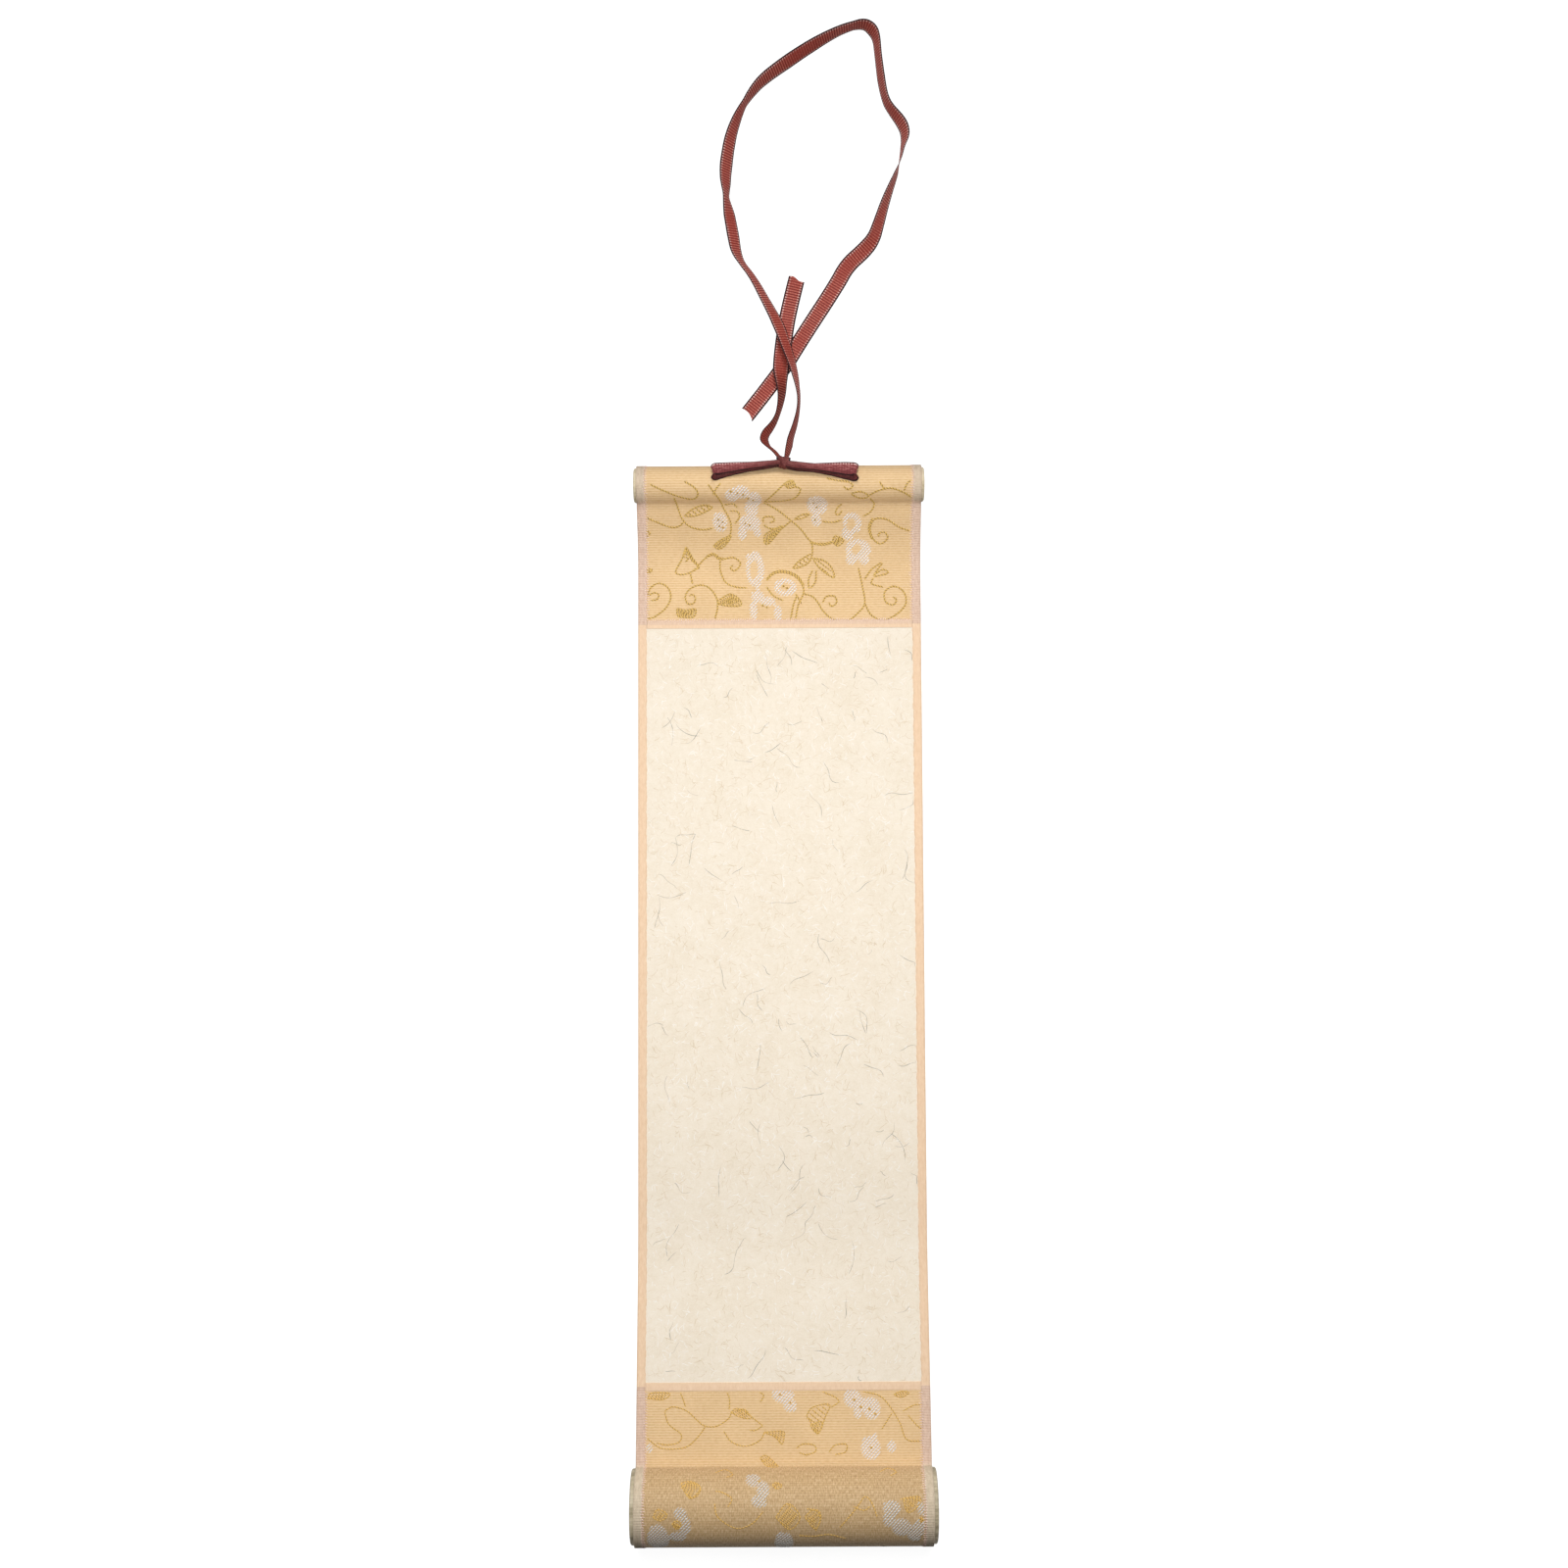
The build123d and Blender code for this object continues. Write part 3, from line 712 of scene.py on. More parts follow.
def tie_bow():
    """Both loops and the turns of the knot as one piece."""
    right_wide = [0, 3.6, 8.6, 12.6, 17, 20.2], [0.95, 1.1, 0.95, 1.35, 1.8, 1.95]
    left_wide = [0, 3.1, 9.4, 15, 18.4, 20.2], [0.8, 0.85, 1.0, 1.42, 1.68, 1.78]
    parts = [
        bow_loop(1, 19.6, right_wide, drop=2.35, power=0.4),
        bow_loop(-1, 18.9, left_wide, drop=2.1, power=0.75),
        knot_band(0.2, 1.5, 1.7, 1.5, 0.35, 0.4),
        knot_band(-0.35, 0.95, 1.95, 1.7, -0.7, 1.7),
    ]
    starts = np.cumsum([0] + [len(part[0]) for part in parts])
    faces = np.concatenate([part[2] + start for part, start in zip(parts, starts)])
    points, uv, opened, fold_shade = (np.concatenate([part[k] for part in parts]) for k in (0, 1, 3, 4))
    marks = {"open": opened, "fold_shade": fold_shade}
    make_piece("ribbon_bow_tied", points, faces, wine_ribbon, uv, marks, ("ribbon_bow",))


tie_bow()


# Brocade panels: ribbed cloth, with the vine and blossom figures couched on it

rib_rise, draft_middle, figure_margin = 0.014, 784, 0.2


def brocade_panel(name, start, end, node):
    """Ribbed cloth: the face rises and falls with each rib, a little unevenly across the width."""
    s = np.linspace(start, end, int((end - start) / 0.115))
    x = np.linspace(-sheet_half, sheet_half, 41)
    drift = 0.5 * np.sin(x * 0.31) + 0.35 * np.sin(x * 0.83 + 1.0)
    high = panel_top - rib_rise + rib_rise * np.sin(2 * pi * s[:, None] / rib_pitch + drift)
    # This mark carries the painted shade on the cloth rolled up on the bottom rod
    marks = {"unshaded": unshaded_share(s)}
    piece = pasted_strip(name, x, s, 0.0, high, brocade_cloth, (node,), marks)


brocade_panel("lower_brocade_cloth", 0.0, lower_seam_s, "lower_brocade")
brocade_panel("upper_brocade_cloth", upper_seam_s, sheet_length, "upper_brocade")


def sight_table():
    """Row of the picture at which each part of the sheet's seen side lies, and its distance from the eye."""
    s = np.linspace(0, sheet_length, 6000)
    place = on_sheet(0.0, s, panel_top)
    lean = radians(eye_lean)
    y, z = place[:, 1] - eye_y, place[:, 2] - eye_z
    depth = y * sin(lean) - z * cos(lean)
    row = frame_half - eye_reach * (y * cos(lean) + z * sin(lean)) / depth
    first = np.argmax(np.where(s < lower_seam_s, row, -1e9))
    last = np.argmin(np.where(s > upper_seam_s, row, 1e9))
    return s[first:last][::-1], row[first:last][::-1], depth[first:last][::-1]


sight_s, sight_row, sight_depth = sight_table()


def keep_inside(x):
    """Places across the sheet, kept between the edge tapes."""
    return np.clip(x, figure_margin - tape_inner, tape_inner - figure_margin)


def seen_draft(left, top, scale):
    """Lays a panel's drawing on the sheet as the eye sees it: gives its points' places across and along."""

    def lay(points):
        p = np.asarray(points, float)
        row = top + p[:, 1] / scale
        s = np.interp(row, sight_row, sight_s)
        depth = np.interp(row, sight_row, sight_depth)
        x = eye_x + (left + p[:, 0] / scale - frame_half) * depth / eye_reach
        return np.stack([keep_inside(x), s], -1)

    return lay


def repeat_draft(s, row, scale):
    """Lays a drawing again on a turn of cloth that the eye doesn't see, with the given row of it at s."""

    def lay(points):
        p = np.asarray(points, float)
        return np.stack([keep_inside((p[:, 0] - draft_middle) * scale), s + (row - p[:, 1]) * scale], -1)

    return lay


upper_draft = seen_draft(640.0, 465.0, 4.9)
lower_draft = seen_draft(640.0, 1405.0, 4.825)

# Drawings of the figures: vines as lines, leaves as outlines by the distance between their stitches
upper_vines = [
    [(125, 140), (200, 175), (280, 205), (340, 216), (365, 190), (345, 155), (295, 125)],
    [(245, 205), (265, 260), (290, 320), (330, 355), (390, 368), (440, 360)],
    [(105, 305), (160, 330), (230, 355), (270, 350), (292, 330)],
    [(415, 140), (440, 175), (470, 215), (490, 255), (515, 300), (530, 345), (525, 395), (505, 415)],
    [(440, 195), (455, 165), (480, 135)],
    [(495, 245), (540, 240), (562, 260)],
    [(520, 275), (560, 278), (572, 305), (548, 340)],
    [(690, 235), (760, 270), (830, 325), (880, 370), (930, 430), (990, 440), (1040, 430)],
    [(830, 325), (790, 360), (740, 400), (700, 432)],
    [(690, 335), (695, 308), (735, 305), (746, 325), (722, 335)],
    [(690, 345), (730, 365), (785, 360)],
    [(845, 320), (880, 298), (920, 294), (890, 312), (850, 320)],
    [(985, 330), (1040, 334), (1085, 322)],
    [(1050, 292), (1062, 262), (1086, 242)],
    [(1086, 275), (1070, 296), (1050, 292)],
    [(1005, 112), (1060, 125), (1110, 130), (1140, 150), (1118, 170), (1092, 155)],
    [(1130, 190), (1180, 182), (1218, 203), (1190, 216), (1150, 205), (1130, 190)],
    [(1218, 203), (1260, 180), (1330, 165), (1400, 190), (1440, 215)],
    [(1272, 130), (1285, 150), (1300, 172)],
    [(1430, 125), (1410, 145), (1395, 180)],
    [(1225, 212), (1246, 245), (1225, 285), (1190, 305)],
    [(1425, 380), (1370, 360), (1310, 322), (1252, 318), (1226, 360), (1238, 415), (1276, 443), (1312, 415),
     (1298, 386), (1268, 392), (1270, 410)],
    [(932, 430), (936, 460), (936, 495)],
    [(955, 572), (950, 630), (925, 665)],
    [(938, 572), (916, 620), (918, 668)],
    [(705, 625), (740, 592), (790, 583), (850, 605), (886, 650), (890, 690), (865, 745), (848, 826)],
    [(850, 690), (868, 720), (880, 742)],
    [(705, 655), (740, 700), (790, 725)],
    [(890, 690), (935, 705), (962, 735), (990, 780), (1040, 820), (1110, 826), (1160, 790), (1196, 740),
     (1186, 660), (1165, 560)],
    [(985, 738), (1004, 706), (1044, 704), (1056, 734), (1032, 754), (1016, 736)],
    [(1196, 740), (1230, 800), (1290, 824), (1360, 792), (1402, 740), (1390, 682), (1340, 656), (1296, 685),
     (1302, 734), (1340, 748), (1354, 722), (1334, 708)],
    [(1195, 622), (1230, 572), (1282, 535)],
    [(1242, 608), (1312, 590), (1288, 572), (1240, 600)],
    [(1240, 612), (1232, 642), (1290, 660)],
    [(304, 455), (286, 510), (252, 580), (300, 590), (362, 556), (330, 516), (304, 455)],
    [(365, 548), (400, 512), (440, 495), (475, 518), (540, 508), (576, 538), (548, 574), (526, 560),
     (540, 545)],
    [(475, 520), (475, 570), (500, 630), (550, 655), (610, 660)],
    [(325, 584), (336, 640)],
    [(352, 708), (340, 736), (310, 736), (300, 700), (322, 665), (370, 645), (420, 660), (456, 710),
     (460, 760), (445, 822)],
    [(352, 708), (335, 692), (318, 700)],
    [(108, 700), (128, 656), (170, 635), (215, 660), (226, 710), (200, 760), (150, 800), (104, 812)],
    [(112, 700), (142, 682), (165, 692), (158, 716), (128, 720)],
    [(104, 372), (124, 385), (104, 402)],
    [(402, 504), (440, 487), (474, 510), (500, 512)],
    [(310, 462), (338, 512), (368, 556), (340, 566)],
    [(300, 462), (292, 500), (316, 510), (300, 530)],
    [(705, 617), (740, 584), (792, 575), (856, 598), (894, 648)],
    [(858, 700), (840, 745), (824, 826)],
    [(922, 436), (985, 448), (1034, 438)],
    [(1238, 312), (1218, 360), (1232, 420)],
    [(1240, 604), (1270, 560), (1288, 540)],
    [(695, 231), (752, 184), (804, 137), (836, 124), (850, 153), (878, 169), (851, 211), (794, 226),
     (695, 231)],
]
upper_leaves = {
    1.15: [
        [(296, 300), (340, 264), (392, 246), (436, 256), (404, 278), (345, 300)],
        [(836, 564), (868, 528), (932, 492), (916, 536), (868, 560)],
        [(938, 512), (992, 526), (1030, 560), (1044, 610), (990, 580), (958, 546)],
    ],
    0.52: [
        [(440, 452), (470, 425), (528, 398), (510, 436), (474, 464)],
        [(694, 436), (704, 392), (784, 352), (760, 392), (716, 440)],
        [(796, 142), (812, 134), (836, 124), (850, 152), (818, 162)],
        [(1036, 432), (1050, 404), (1092, 424), (1064, 452)],
        [(466, 722), (520, 692), (562, 710), (578, 746), (512, 750), (466, 738)],
        [(256, 762), (300, 770), (350, 766), (340, 804), (290, 806), (262, 798)],
        [(104, 560), (134, 568), (112, 586)],
        [(296, 488), (304, 456), (318, 492)],
    ],
}
# Each blossom: its petals and its open centres, as middles and half sizes, then its gold dots
upper_blossoms = [
    ([(535, 196, 36, 34), (580, 180, 46, 36), (648, 214, 38, 38), (632, 268, 36, 40), (624, 334, 56, 42),
      (586, 388, 24, 38), (660, 378, 22, 30)], [],
     [(530, 178), (562, 186), (590, 194), (616, 214), (640, 222), (600, 338), (622, 346)]),
    ([(475, 330, 38, 52)], [], [(466, 318), (488, 330), (472, 350), (490, 358)]),
    ([(961, 250, 56, 50), (956, 322, 28, 36)], [], [(944, 236), (958, 258), (950, 322)]),
    ([(1136, 338, 50, 54), (1112, 392, 32, 34)], [(1130, 346, 20, 28)], []),
    ([(1166, 472, 66, 56), (1126, 520, 26, 30), (1196, 522, 28, 30)], [(1156, 470, 20, 24)], []),
    ([(649, 566, 48, 92), (612, 500, 12, 16), (660, 662, 12, 22)], [(643, 572, 17, 46)], []),
    ([(640, 772, 22, 52), (662, 704, 36, 32), (712, 728, 40, 26), (762, 786, 22, 42)], [],
     [(686, 748), (706, 758)]),
    ([(800, 658, 58, 46)], [(800, 656, 25, 18)], [(790, 652), (808, 662)]),
]

lower_vines = [
    [(250, 75), (264, 110), (275, 145)],
    [(172, 165), (215, 145), (280, 165), (330, 210), (370, 240), (430, 240), (488, 202), (502, 166)],
    [(172, 168), (192, 230), (252, 280), (240, 320), (182, 332), (130, 322)],
    [(480, 75), (492, 110), (490, 160)],
    [(520, 165), (566, 160), (600, 196), (655, 240)],
    [(462, 265), (500, 318), (570, 340), (640, 312), (665, 268)],
    [(655, 240), (620, 262), (590, 262)],
    [(950, 75), (1000, 95), (1030, 122), (992, 152)],
    [(640, 75), (660, 92), (642, 126)],
    [(1150, 75), (1230, 95), (1282, 150), (1330, 230), (1362, 310), (1430, 320)],
    [(1292, 180), (1266, 220), (1240, 262)],
    [(1345, 172), (1400, 142), (1442, 142)],
    [(1370, 192), (1412, 240), (1442, 260)],
    [(85, 300), (160, 350), (270, 345), (330, 300), (372, 244)],
    [(820, 352), (850, 332), (905, 336), (915, 366), (870, 384), (832, 372)],
    [(980, 372), (1010, 338), (1066, 334), (1060, 372), (1010, 384)],
    [(415, 622), (432, 690), (522, 745), (600, 722), (655, 662)],
    [(250, 548), (288, 518), (345, 540), (330, 584), (290, 590), (270, 560)],
    [(1030, 745), (1120, 640), (1156, 592), (1190, 622), (1216, 692)],
    [(1100, 640), (1150, 660), (1180, 640)],
    [(830, 782), (900, 786), (980, 778), (1062, 798)],
    [(870, 650), (926, 660), (938, 700), (912, 760)],
    [(420, 560), (460, 570), (500, 600), (480, 640)],
    [(1330, 606), (1380, 600), (1430, 612)],
    [(420, 470), (470, 455), (505, 480), (470, 494)],
    [(1230, 470), (1270, 452), (1310, 470), (1280, 490)],
]
lower_leaves = {
    1.15: [
        [(870, 192), (902, 150), (984, 138), (962, 200), (930, 278), (902, 240)],
    ],
    0.5: [
        [(88, 104), (110, 76), (196, 78), (168, 108)],
        [(498, 172), (530, 155), (584, 180), (596, 204), (540, 196)],
        [(660, 272), (752, 268), (760, 290), (748, 332), (716, 296)],
        [(888, 238), (946, 222), (930, 278), (908, 268)],
        [(1300, 88), (1340, 74), (1376, 82), (1336, 104)],
        [(640, 400), (672, 388), (730, 440), (690, 444)],
        [(250, 520), (300, 512), (346, 544), (300, 596), (268, 562)],
        [(700, 530), (720, 520), (748, 534), (722, 552)],
        [(716, 690), (776, 624), (836, 690), (784, 752)],
        [(860, 690), (900, 656), (936, 690), (910, 750)],
        [(110, 690), (136, 650), (182, 676), (150, 706)],
        [(1346, 600), (1424, 594), (1416, 640), (1372, 672), (1352, 640)],
        [(204, 722), (228, 706), (250, 726), (228, 748)],
    ],
}
lower_blossoms = [
    ([(756, 92, 58, 40), (788, 138, 36, 38)], [], [(740, 88), (790, 128)]),
    ([(1098, 108, 46, 50), (1150, 138, 38, 38), (1190, 158, 46, 58), (1122, 178, 22, 32)], [],
     [(1106, 114), (1138, 150), (1180, 160), (1208, 184)]),
    ([(1186, 352, 50, 62), (1206, 292, 14, 20)], [], [(1188, 350)]),
    ([(1288, 345, 25, 34)], [], []),
    ([(96, 348, 18, 26)], [], []),
    ([(606, 510, 40, 34), (654, 556, 34, 46), (634, 612, 40, 34)], [], [(636, 514)]),
    ([(246, 672, 34, 34), (268, 728, 32, 52), (234, 783, 45, 24), (138, 778, 54, 58)], [(227, 727, 26, 22)],
     [(214, 722), (226, 730), (236, 734), (222, 738)]),
    ([(1288, 650, 46, 42), (1276, 706, 34, 40), (1336, 742, 52, 46), (1398, 768, 40, 44), (1440, 652, 28, 36),
      (1436, 738, 34, 44)], [], [(1430, 700), (1438, 708), (1432, 716)]),
    ([(744, 800, 36, 40), (776, 806, 30, 40)], [], []),
]
blossom_slant, blossom_pitch, leaf_slant = radians(48), 0.68, radians(-38)
shortest_stitch, stitch_step = 0.45, 0.5
dot_swirl = np.array([[-0.45, 0.2], [-0.15, -0.1], [0.15, 0.1], [0.45, -0.2]])


def spans(shapes, holes, line):
    """Runs of a slanting line inside a union of ellipses and outside holes: pairs of distances along it."""

    def cut(ellipse):
        (cx, cy), rx, ry = ellipse
        px, py = (line[0] - cx) / rx, (line[1] - cy) / ry
        dx, dy = line[2] / rx, line[3] / ry
        a, b, c = dx * dx + dy * dy, px * dx + py * dy, px * px + py * py - 1
        room = b * b - a * c
        return None if room <= 0 else ((-b - room**0.5) / a, (-b + room**0.5) / a)

    runs = []
    for run in sorted(filter(None, map(cut, shapes))):
        if runs and run[0] <= runs[-1][1]:
            runs[-1] = (runs[-1][0], max(run[1], runs[-1][1]))
        else:
            runs.append(run)
    for hole in filter(None, map(cut, holes)):
        kept = []
        for low, high in runs:
            kept += [(low, min(high, hole[0])), (max(low, hole[1]), high)]
        runs = kept
    return [(low, high) for low, high in runs if high - low > shortest_stitch]


def hatched(shapes, holes):
    """Slanting stitches that fill a figure, each as a line across and along the sheet."""
    run = np.array([cos(blossom_slant), sin(blossom_slant)])
    side = np.array([-run[1], run[0]])
    offsets = np.array([shape[0] for shape in shapes]) @ side
    reach = max(max(shape[1:]) for shape in shapes)
    lines = []
    for k in np.arange(offsets.min() - reach, offsets.max() + reach, blossom_pitch):
        start = side * k
        for low, high in spans(shapes, holes, (*start, *run)):
            count = max(4, int((high - low) / stitch_step))
            lines.append(start + run * np.linspace(low, high, count)[:, None])
    return lines


def ellipses(figures, draft):
    """Ellipses of a draft as middles and half sizes on the sheet, longer where it turns from the eye."""
    if not figures:
        return []
    x, y, wide, high = np.array(figures, float).T
    low, top = draft(np.stack([x - wide, y + high], -1)), draft(np.stack([x + wide, y - high], -1))
    return list(zip(map(tuple, (low + top) / 2), (top - low)[:, 0] / 2, (top - low)[:, 1] / 2))


def leaf_threads(outline, draft, pitch):
    """A leaf: its closed outline, and slanting stitches across it, pitch apart."""
    edge = draft(outline + outline[:1])
    turn = np.array([[cos(leaf_slant), -sin(leaf_slant)], [sin(leaf_slant), cos(leaf_slant)]])
    corners = edge @ turn
    stitches = []
    for k in np.arange(corners[:, 1].min() + 0.3, corners[:, 1].max(), pitch):
        below = corners[:, 1] < k
        at = np.nonzero(below[:-1] != below[1:])[0]
        if len(at) < 2:
            continue
        part = (k - corners[at, 1]) / (corners[at + 1, 1] - corners[at, 1])
        crossing = np.sort(corners[at, 0] + part * (corners[at + 1, 0] - corners[at, 0]))
        if crossing[-1] - crossing[0] > 0.5:
            run = np.stack([np.linspace(crossing[0], crossing[-1], 5), np.full(5, k)], -1)
            stitches.append(run @ turn.T)
    return [smooth_line(edge, 0.2)] + stitches


def figure_panel(part, vines, leaves, blossoms, draft, thin, gold_finish):
    """All the figures of one panel: gold vines, leaves and dots, and blossoms hatched in white."""
    gold = [smooth_line(draft(vine), 0.2) for vine in vines]
    for pitch, outlines in leaves.items():
        for outline in outlines:
            gold += leaf_threads(outline, draft, pitch)
    white, dots = [], []
    for shapes, holes, centres in blossoms:
        white += hatched(ellipses(shapes, draft), ellipses(holes, draft))
        dots += [centre + dot_swirl for centre in (draft(centres) if centres else [])]
    base = panel_top - 0.03
    couched_threads(part + "_gold_vines", gold, thin, 0.1, base, 0.25, gold_finish)
    # Painted shade: blossoms rolled up on the bottom rod take the greyer thread
    opened = [line for line in white if line[0, 1] > lower_crease_s]
    rolled_shaded = [line for line in white if line[0, 1] <= lower_crease_s]
    for kind, stitches, finish in (("_white", opened, white_thread), ("_rolled", rolled_shaded, shaded_white_thread)):
        if stitches:
            couched_threads(part + kind + "_blossoms", stitches, 0.18, 0.12, base, 0.06, finish)
    couched_threads(part + "_gold_dots", dots, 0.38, 0.2, base, 0.0, gold_finish)


def between(figures, low, high):
    """Those figures of a drawing that lie wholly between two of its rows."""
    return [figure for figure in figures if all(low <= point[1] <= high for point in figure)]


def repeat_panel(part, low, high, draft, thin, gold_finish):
    """The upper panel's figures between two rows of its drawing, woven again on a hidden turn."""
    leaves = {pitch: between(outlines, low, high) for pitch, outlines in upper_leaves.items()}
    blossoms = [
        blossom for blossom in upper_blossoms
        if between([blossom[0]], low + 50, high - 50) and blossom[2]
    ]
    figure_panel(part, between(upper_vines, low, high), leaves, blossoms, draft, thin, gold_finish)


figure_panel("upper", upper_vines, upper_leaves, upper_blossoms, upper_draft, 0.26, gold_thread)
figure_panel("lower", lower_vines, lower_leaves, lower_blossoms, lower_draft, 0.17, bright_gold_thread)
repeat_panel("upper_back", 596, 830, repeat_draft(sight_s[0] + 0.8, 830, 0.0551), 0.26, gold_thread)
repeat_panel("lower_back", 310, 806, repeat_draft(sight_s[-1] - 0.8, 310, 0.0551), 0.2, bright_gold_thread)


# Tapes: thin paper over both edges and both joints, with the ends of the cloth's threads showing beside them

tape_sink = 0.02


def over_cloth(s):
    """1 where a tape lies over brocade, 0 over the writing paper."""
    borders = [lower_seam_s - 0.2, lower_seam_s + 0.2, upper_seam_s - 0.2, upper_seam_s + 0.2]
    return np.interp(s, borders, [1.0, 0.0, 0.0, 1.0])


def edge_tape(name, hand, node):
    """Tape along one long edge: its inner border wanders a little, and it sinks into the ribs it covers."""
    s = np.linspace(0, sheet_length, 2600)
    wander = 0.07 * np.sin(s * 0.9 + hand) + 0.05 * np.sin(s * 2.3 + 2 * hand) + 0.04 * np.sin(s * 5.1)
    inner = tape_inner + wander[:, None]
    x = hand * (inner + (sheet_half - inner) * np.linspace(0, 1, 5))
    x = x if hand > 0 else x[:, ::-1]
    over = over_cloth(s)
    # Painted shade on the rods: full on the bottom rod, and through on_flat most of it on the top rod
    on_flat = np.interp(s, [upper_crease_s - 1.0, upper_crease_s + 1.5], [1.0, 0.25])
    high = tape_top - tape_sink + (tape_sink * over * np.sin(2 * pi * s / rib_pitch))[:, None]
    marks = {"unshaded": unshaded_share(s) * on_flat, "over": over}
    pasted_strip(name, x, s, panel_top, high, tape_paper, (node,), marks)


def seam_tape(name, middle, weave, node):
    """Tape over one joint, between the edge tapes; weave tells how much of the cloth's ribs shows in it."""
    s = np.linspace(middle - seam_half, middle + seam_half, 25)
    x = np.linspace(-tape_inner, tape_inner, 161)
    wander = 0.05 * np.sin(x * 0.8) + 0.04 * np.sin(x * 2.1 + 1)
    high = tape_top - 0.01 + 0.01 * np.sin(wander * 40)
    marks = {"unshaded": np.ones(len(s)), "over": weave * over_cloth(s)}
    pasted_strip(name, x, s, panel_top, high, tape_paper, (node,), marks)


edge_tape("right_tape", 1, "right_edge_tape")
edge_tape("left_tape", -1, "left_edge_tape")
seam_tape("lower_tape", lower_seam_s, 0.12, "lower_seam_tape")
seam_tape("upper_tape", upper_seam_s, 0.6, "upper_seam_tape")


def thread_ends(name, s, seam):
    """Short thread ends across the tapes' borders on one brocade panel, and across its joint if given."""
    lines = []
    for hand in (-1, 1):
        reach = random_lay.uniform(0.5, 1.0, (len(s), 2)) * [0.9, 0.7]
        x = hand * (tape_inner + np.stack([-reach[:, 0], 0 * reach[:, 0], reach[:, 1]], -1))
        lines += list(np.stack([x, np.repeat(s[:, None], 3, 1)], -1))
    if seam is not None:
        x = np.arange(-tape_inner + 0.6, tape_inner - 0.4, 0.62)
        reach = random_lay.uniform(0.4, 0.9, (len(x), 2))
        along = seam + seam_half + np.stack([-reach[:, 0], 0 * reach[:, 0], 0.8 * reach[:, 1]], -1)
        lines += list(np.stack([np.repeat(x[:, None], 3, 1), along], -1))
    couched_threads(name, lines, 0.2, 0.09, tape_top - 0.05, 0.0, selvedge_thread)


thread_ends("upper_thread_ends", np.arange(upper_seam_s + 1.5, sheet_length - 1, rib_pitch), upper_seam_s)
thread_ends("lower_thread_ends", np.arange(1, lower_seam_s - 1.5, rib_pitch), None)


# Fibres of the writing paper


def paper_fibres(name, count, shortest, longest, half, finish):
    """Bark fibres lying in the paper: each bends one way with a small swing, at its own place and slant."""
    x = random_lay.uniform(-tape_inner + 1, tape_inner - 1, count)
    s = random_lay.uniform(lower_seam_s + 2, upper_seam_s - 2, count)
    slant = random_lay.uniform(0, 2 * pi, count)
    length = random_lay.uniform(shortest, longest, count)
    bend = random_lay.uniform(-1.3, 1.3, count)
    swing = random_lay.uniform(0, 0.5, count)
    phase = random_lay.uniform(0, 6, count)
    t = np.linspace(-0.5, 0.5, 9)
    head = slant[:, None] + bend[:, None] * t + swing[:, None] * np.sin(7 * t + phase[:, None])
    step = length[:, None] / len(t)
    across = x[:, None] + np.cumsum(np.cos(head) * step, 1)
    along = s[:, None] + np.cumsum(np.sin(head) * step, 1)
    across = np.clip(across, -tape_inner + 0.3, tape_inner - 0.3)
    along = np.clip(along, lower_seam_s + 1.4, upper_seam_s - 1.4)
    lines = list(np.stack([across, along], -1))
    couched_threads(name, lines, half, 0.04, panel_top + 0.02, 0.0, finish, plain_arch)


paper_fibres("white_fibres", 3000, 0.5, 2.6, 0.065, white_fibre)
paper_fibres("pale_fibres", 3600, 0.6, 3.6, 0.06, pale_fibre)
paper_fibres("bark_fibres", 130, 2.0, 11.0, 0.062, bark_fibre)


# Table, light and camera
floor_level, table_radius, cove_radius, studio_sides = -0.0002, 3.4, 0.8, 64
wall_radius = table_radius + cove_radius
sensor_width = 36.0


def studio_white():
    """Pale paper, softly uneven in tone and lit so evenly that it looks nearly white."""
    f = Finish("studio_white", 0.9, 0.1)
    cloud = f.noise(f.place(), 3.0)
    f.finish(f.ramp(cloud, [(0.3, colour(150, 150, 150)), (0.7, colour(156, 156, 156))]))
    f.shader.inputs["Emission Color"].default_value = (1.0, 1.0, 1.0, 1.0)
    f.shader.inputs["Emission Strength"].default_value = 0.94
    f.material.cycles.emission_sampling = "NONE"
    return f.material


def studio_round(name, profile, finish):
    """A turned surface of the studio: rows of radius and height, in metres, carried round the z axis."""
    radius, height = np.array(profile, float).T[:, :, None]
    turn = np.linspace(0, 2 * pi, studio_sides, endpoint=False)
    points = np.stack(np.broadcast_arrays(radius * np.cos(turn), radius * np.sin(turn), height), -1)
    mesh = bpy.data.meshes.new(name)
    mesh.from_pydata(points.reshape(-1, 3).tolist(), [], grid_faces(len(radius), studio_sides, True).tolist())
    mesh.polygons.foreach_set("use_smooth", np.ones(len(mesh.polygons), bool))
    mesh.materials.append(finish)
    made = bpy.data.objects.new(name, mesh)
    bpy.context.scene.collection.objects.link(made)
    made.visible_diffuse = False
    return made


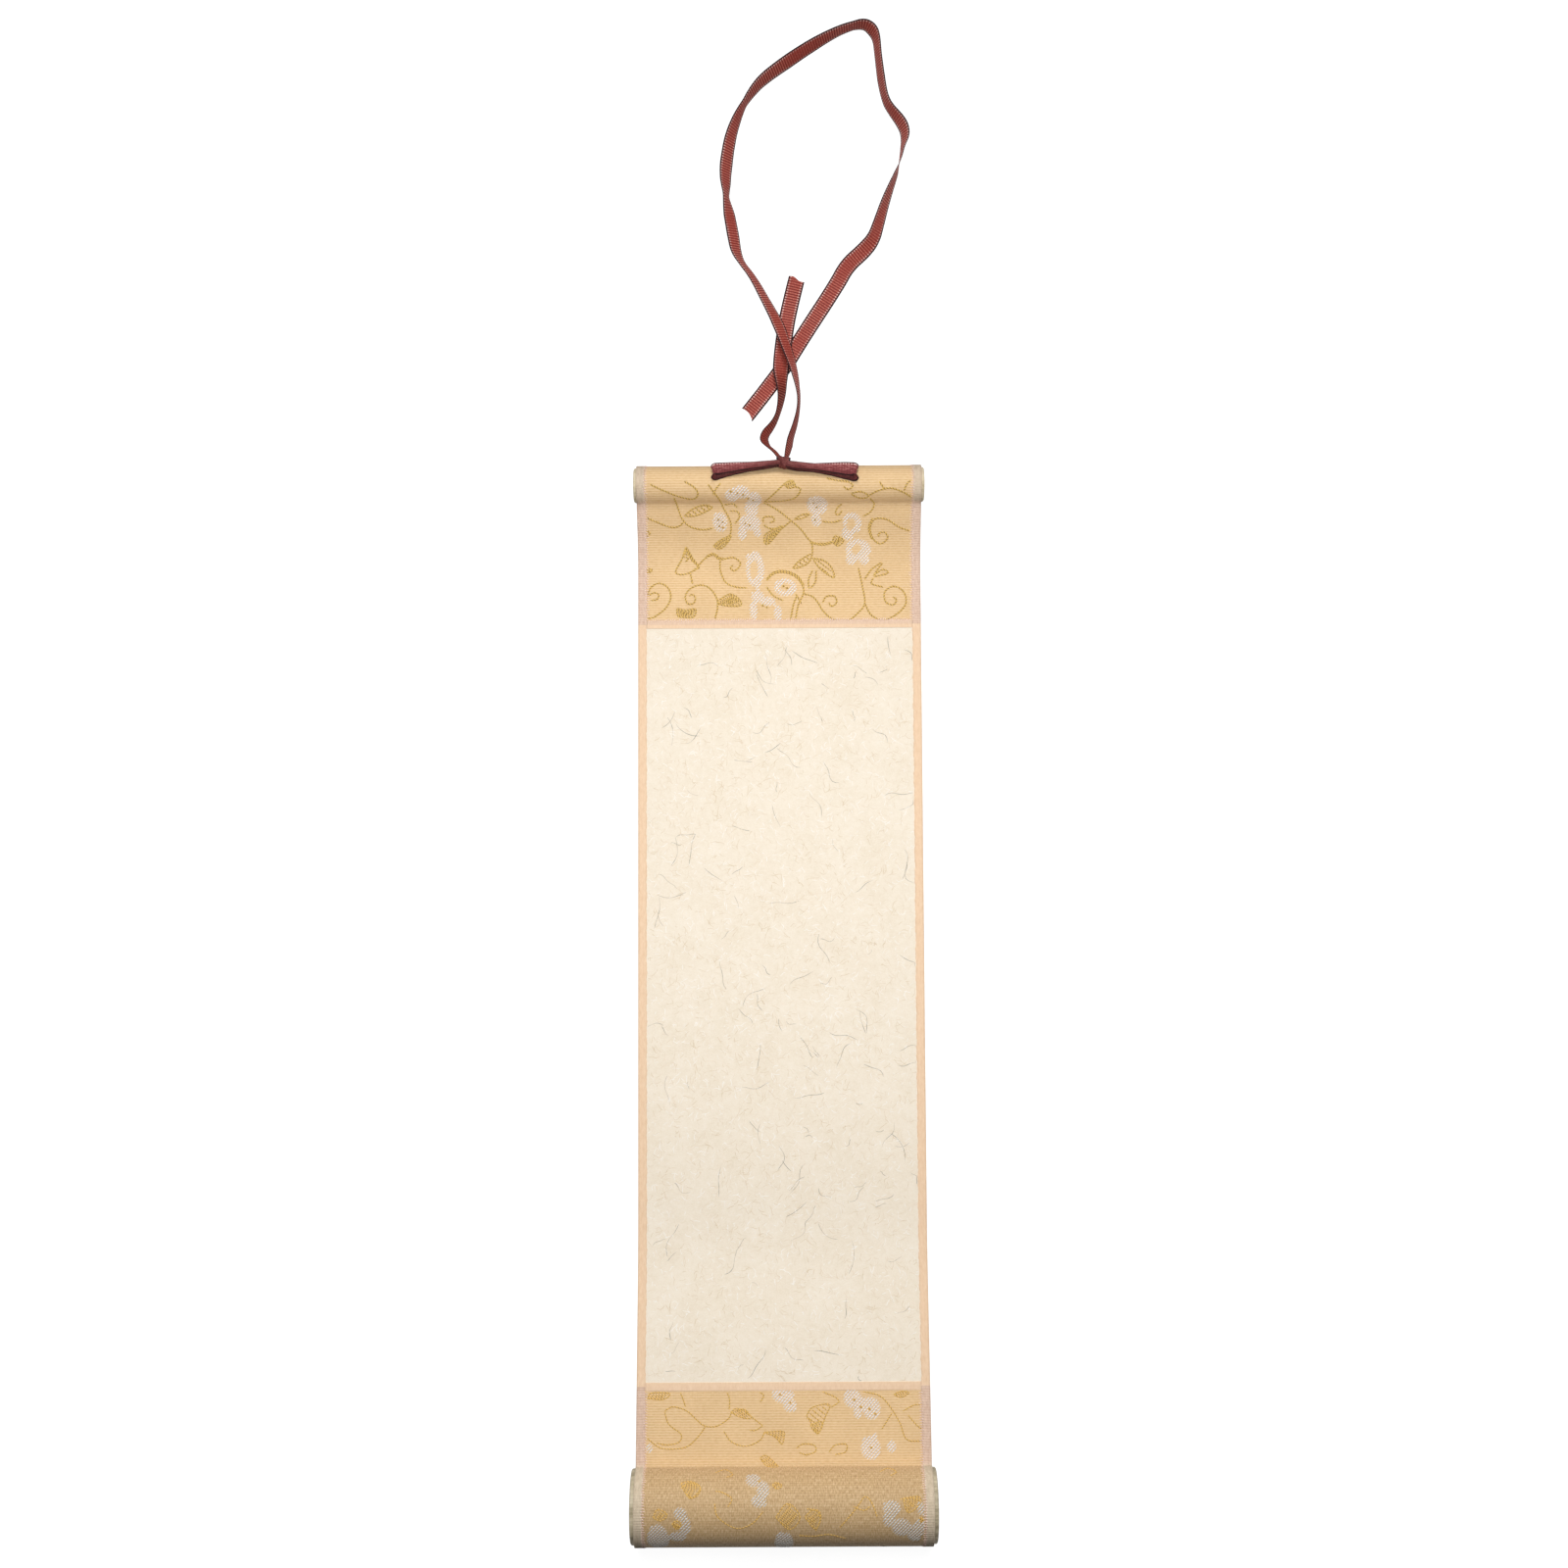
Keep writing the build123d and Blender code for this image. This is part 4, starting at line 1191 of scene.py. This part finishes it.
pale_paper = studio_white()
studio_round("table_top", [(radius, floor_level) for radius in (0.001, 0.3, 1.0, table_radius)], pale_paper)
cove = np.linspace(0, pi / 2, 9)
cove_rows = zip(table_radius + cove_radius * np.sin(cove), floor_level + cove_radius * (1 - np.cos(cove)))
backdrop = studio_round("backdrop", [*cove_rows, (wall_radius, 2.5), (wall_radius, 5.0)], pale_paper)
backdrop.visible_shadow = False


def lamp(name, place, aim, size, power):
    """A square soft light at a place, turned toward a point."""
    light = bpy.data.lights.new(name, "AREA")
    light.size = size
    light.energy = power
    holder = bpy.data.objects.new(name, light)
    bpy.context.scene.collection.objects.link(holder)
    holder.location = place
    turn = (holder.location - Vector(aim)).to_track_quat("Z", "Y")
    holder.rotation_euler = turn.to_euler()
    holder.visible_camera = False


lamp("window_light", (0.0, 1.9, 2.36), (0, 0.05, 0), 0.9, 44.5)
lamp("table_light", (0.0, 0.06, 0.3), (0, 0.06, 0), 0.2, 0.62)
lamp("left_light", (-0.9, 0.12, 0.15), (0, 0.02, 0.01), 0.25, 1.4)
lamp("right_light", (0.9, 0.12, 0.15), (0, 0.02, 0.01), 0.25, 1.4)

world = bpy.data.worlds.new("studio")
world.use_nodes = True
nodes, links = world.node_tree.nodes, world.node_tree.links
sky = nodes["Background"]
sky.inputs["Strength"].default_value = 0.05
ways = nodes.new("ShaderNodeTexCoord")
height = nodes.new("ShaderNodeSeparateXYZ")
shade = nodes.new("ShaderNodeValToRGB")
low_stop, high_stop = shade.color_ramp.elements
low_stop.position, low_stop.color = 0.0, (0.35, 0.35, 0.35, 1.0)
high_stop.position, high_stop.color = 0.35, (1.0, 1.0, 1.0, 1.0)
links.new(ways.outputs["Generated"], height.inputs[0])
links.new(height.outputs[2], shade.inputs[0])
links.new(shade.outputs[0], sky.inputs["Color"])
bpy.context.scene.world = world
bpy.context.scene.view_settings.view_transform = "Standard"

camera = bpy.data.cameras.new("camera")
camera.lens = sensor_width * eye_reach / (2 * frame_half)
camera.sensor_width = sensor_width
camera.dof.use_dof = False
eye = bpy.data.objects.new("camera", camera)
bpy.context.scene.collection.objects.link(eye)
eye.location = (eye_x * MM, eye_y * MM, eye_z * MM)
eye.rotation_euler = (radians(eye_lean), 0, radians(eye_roll))
bpy.context.scene.camera = eye
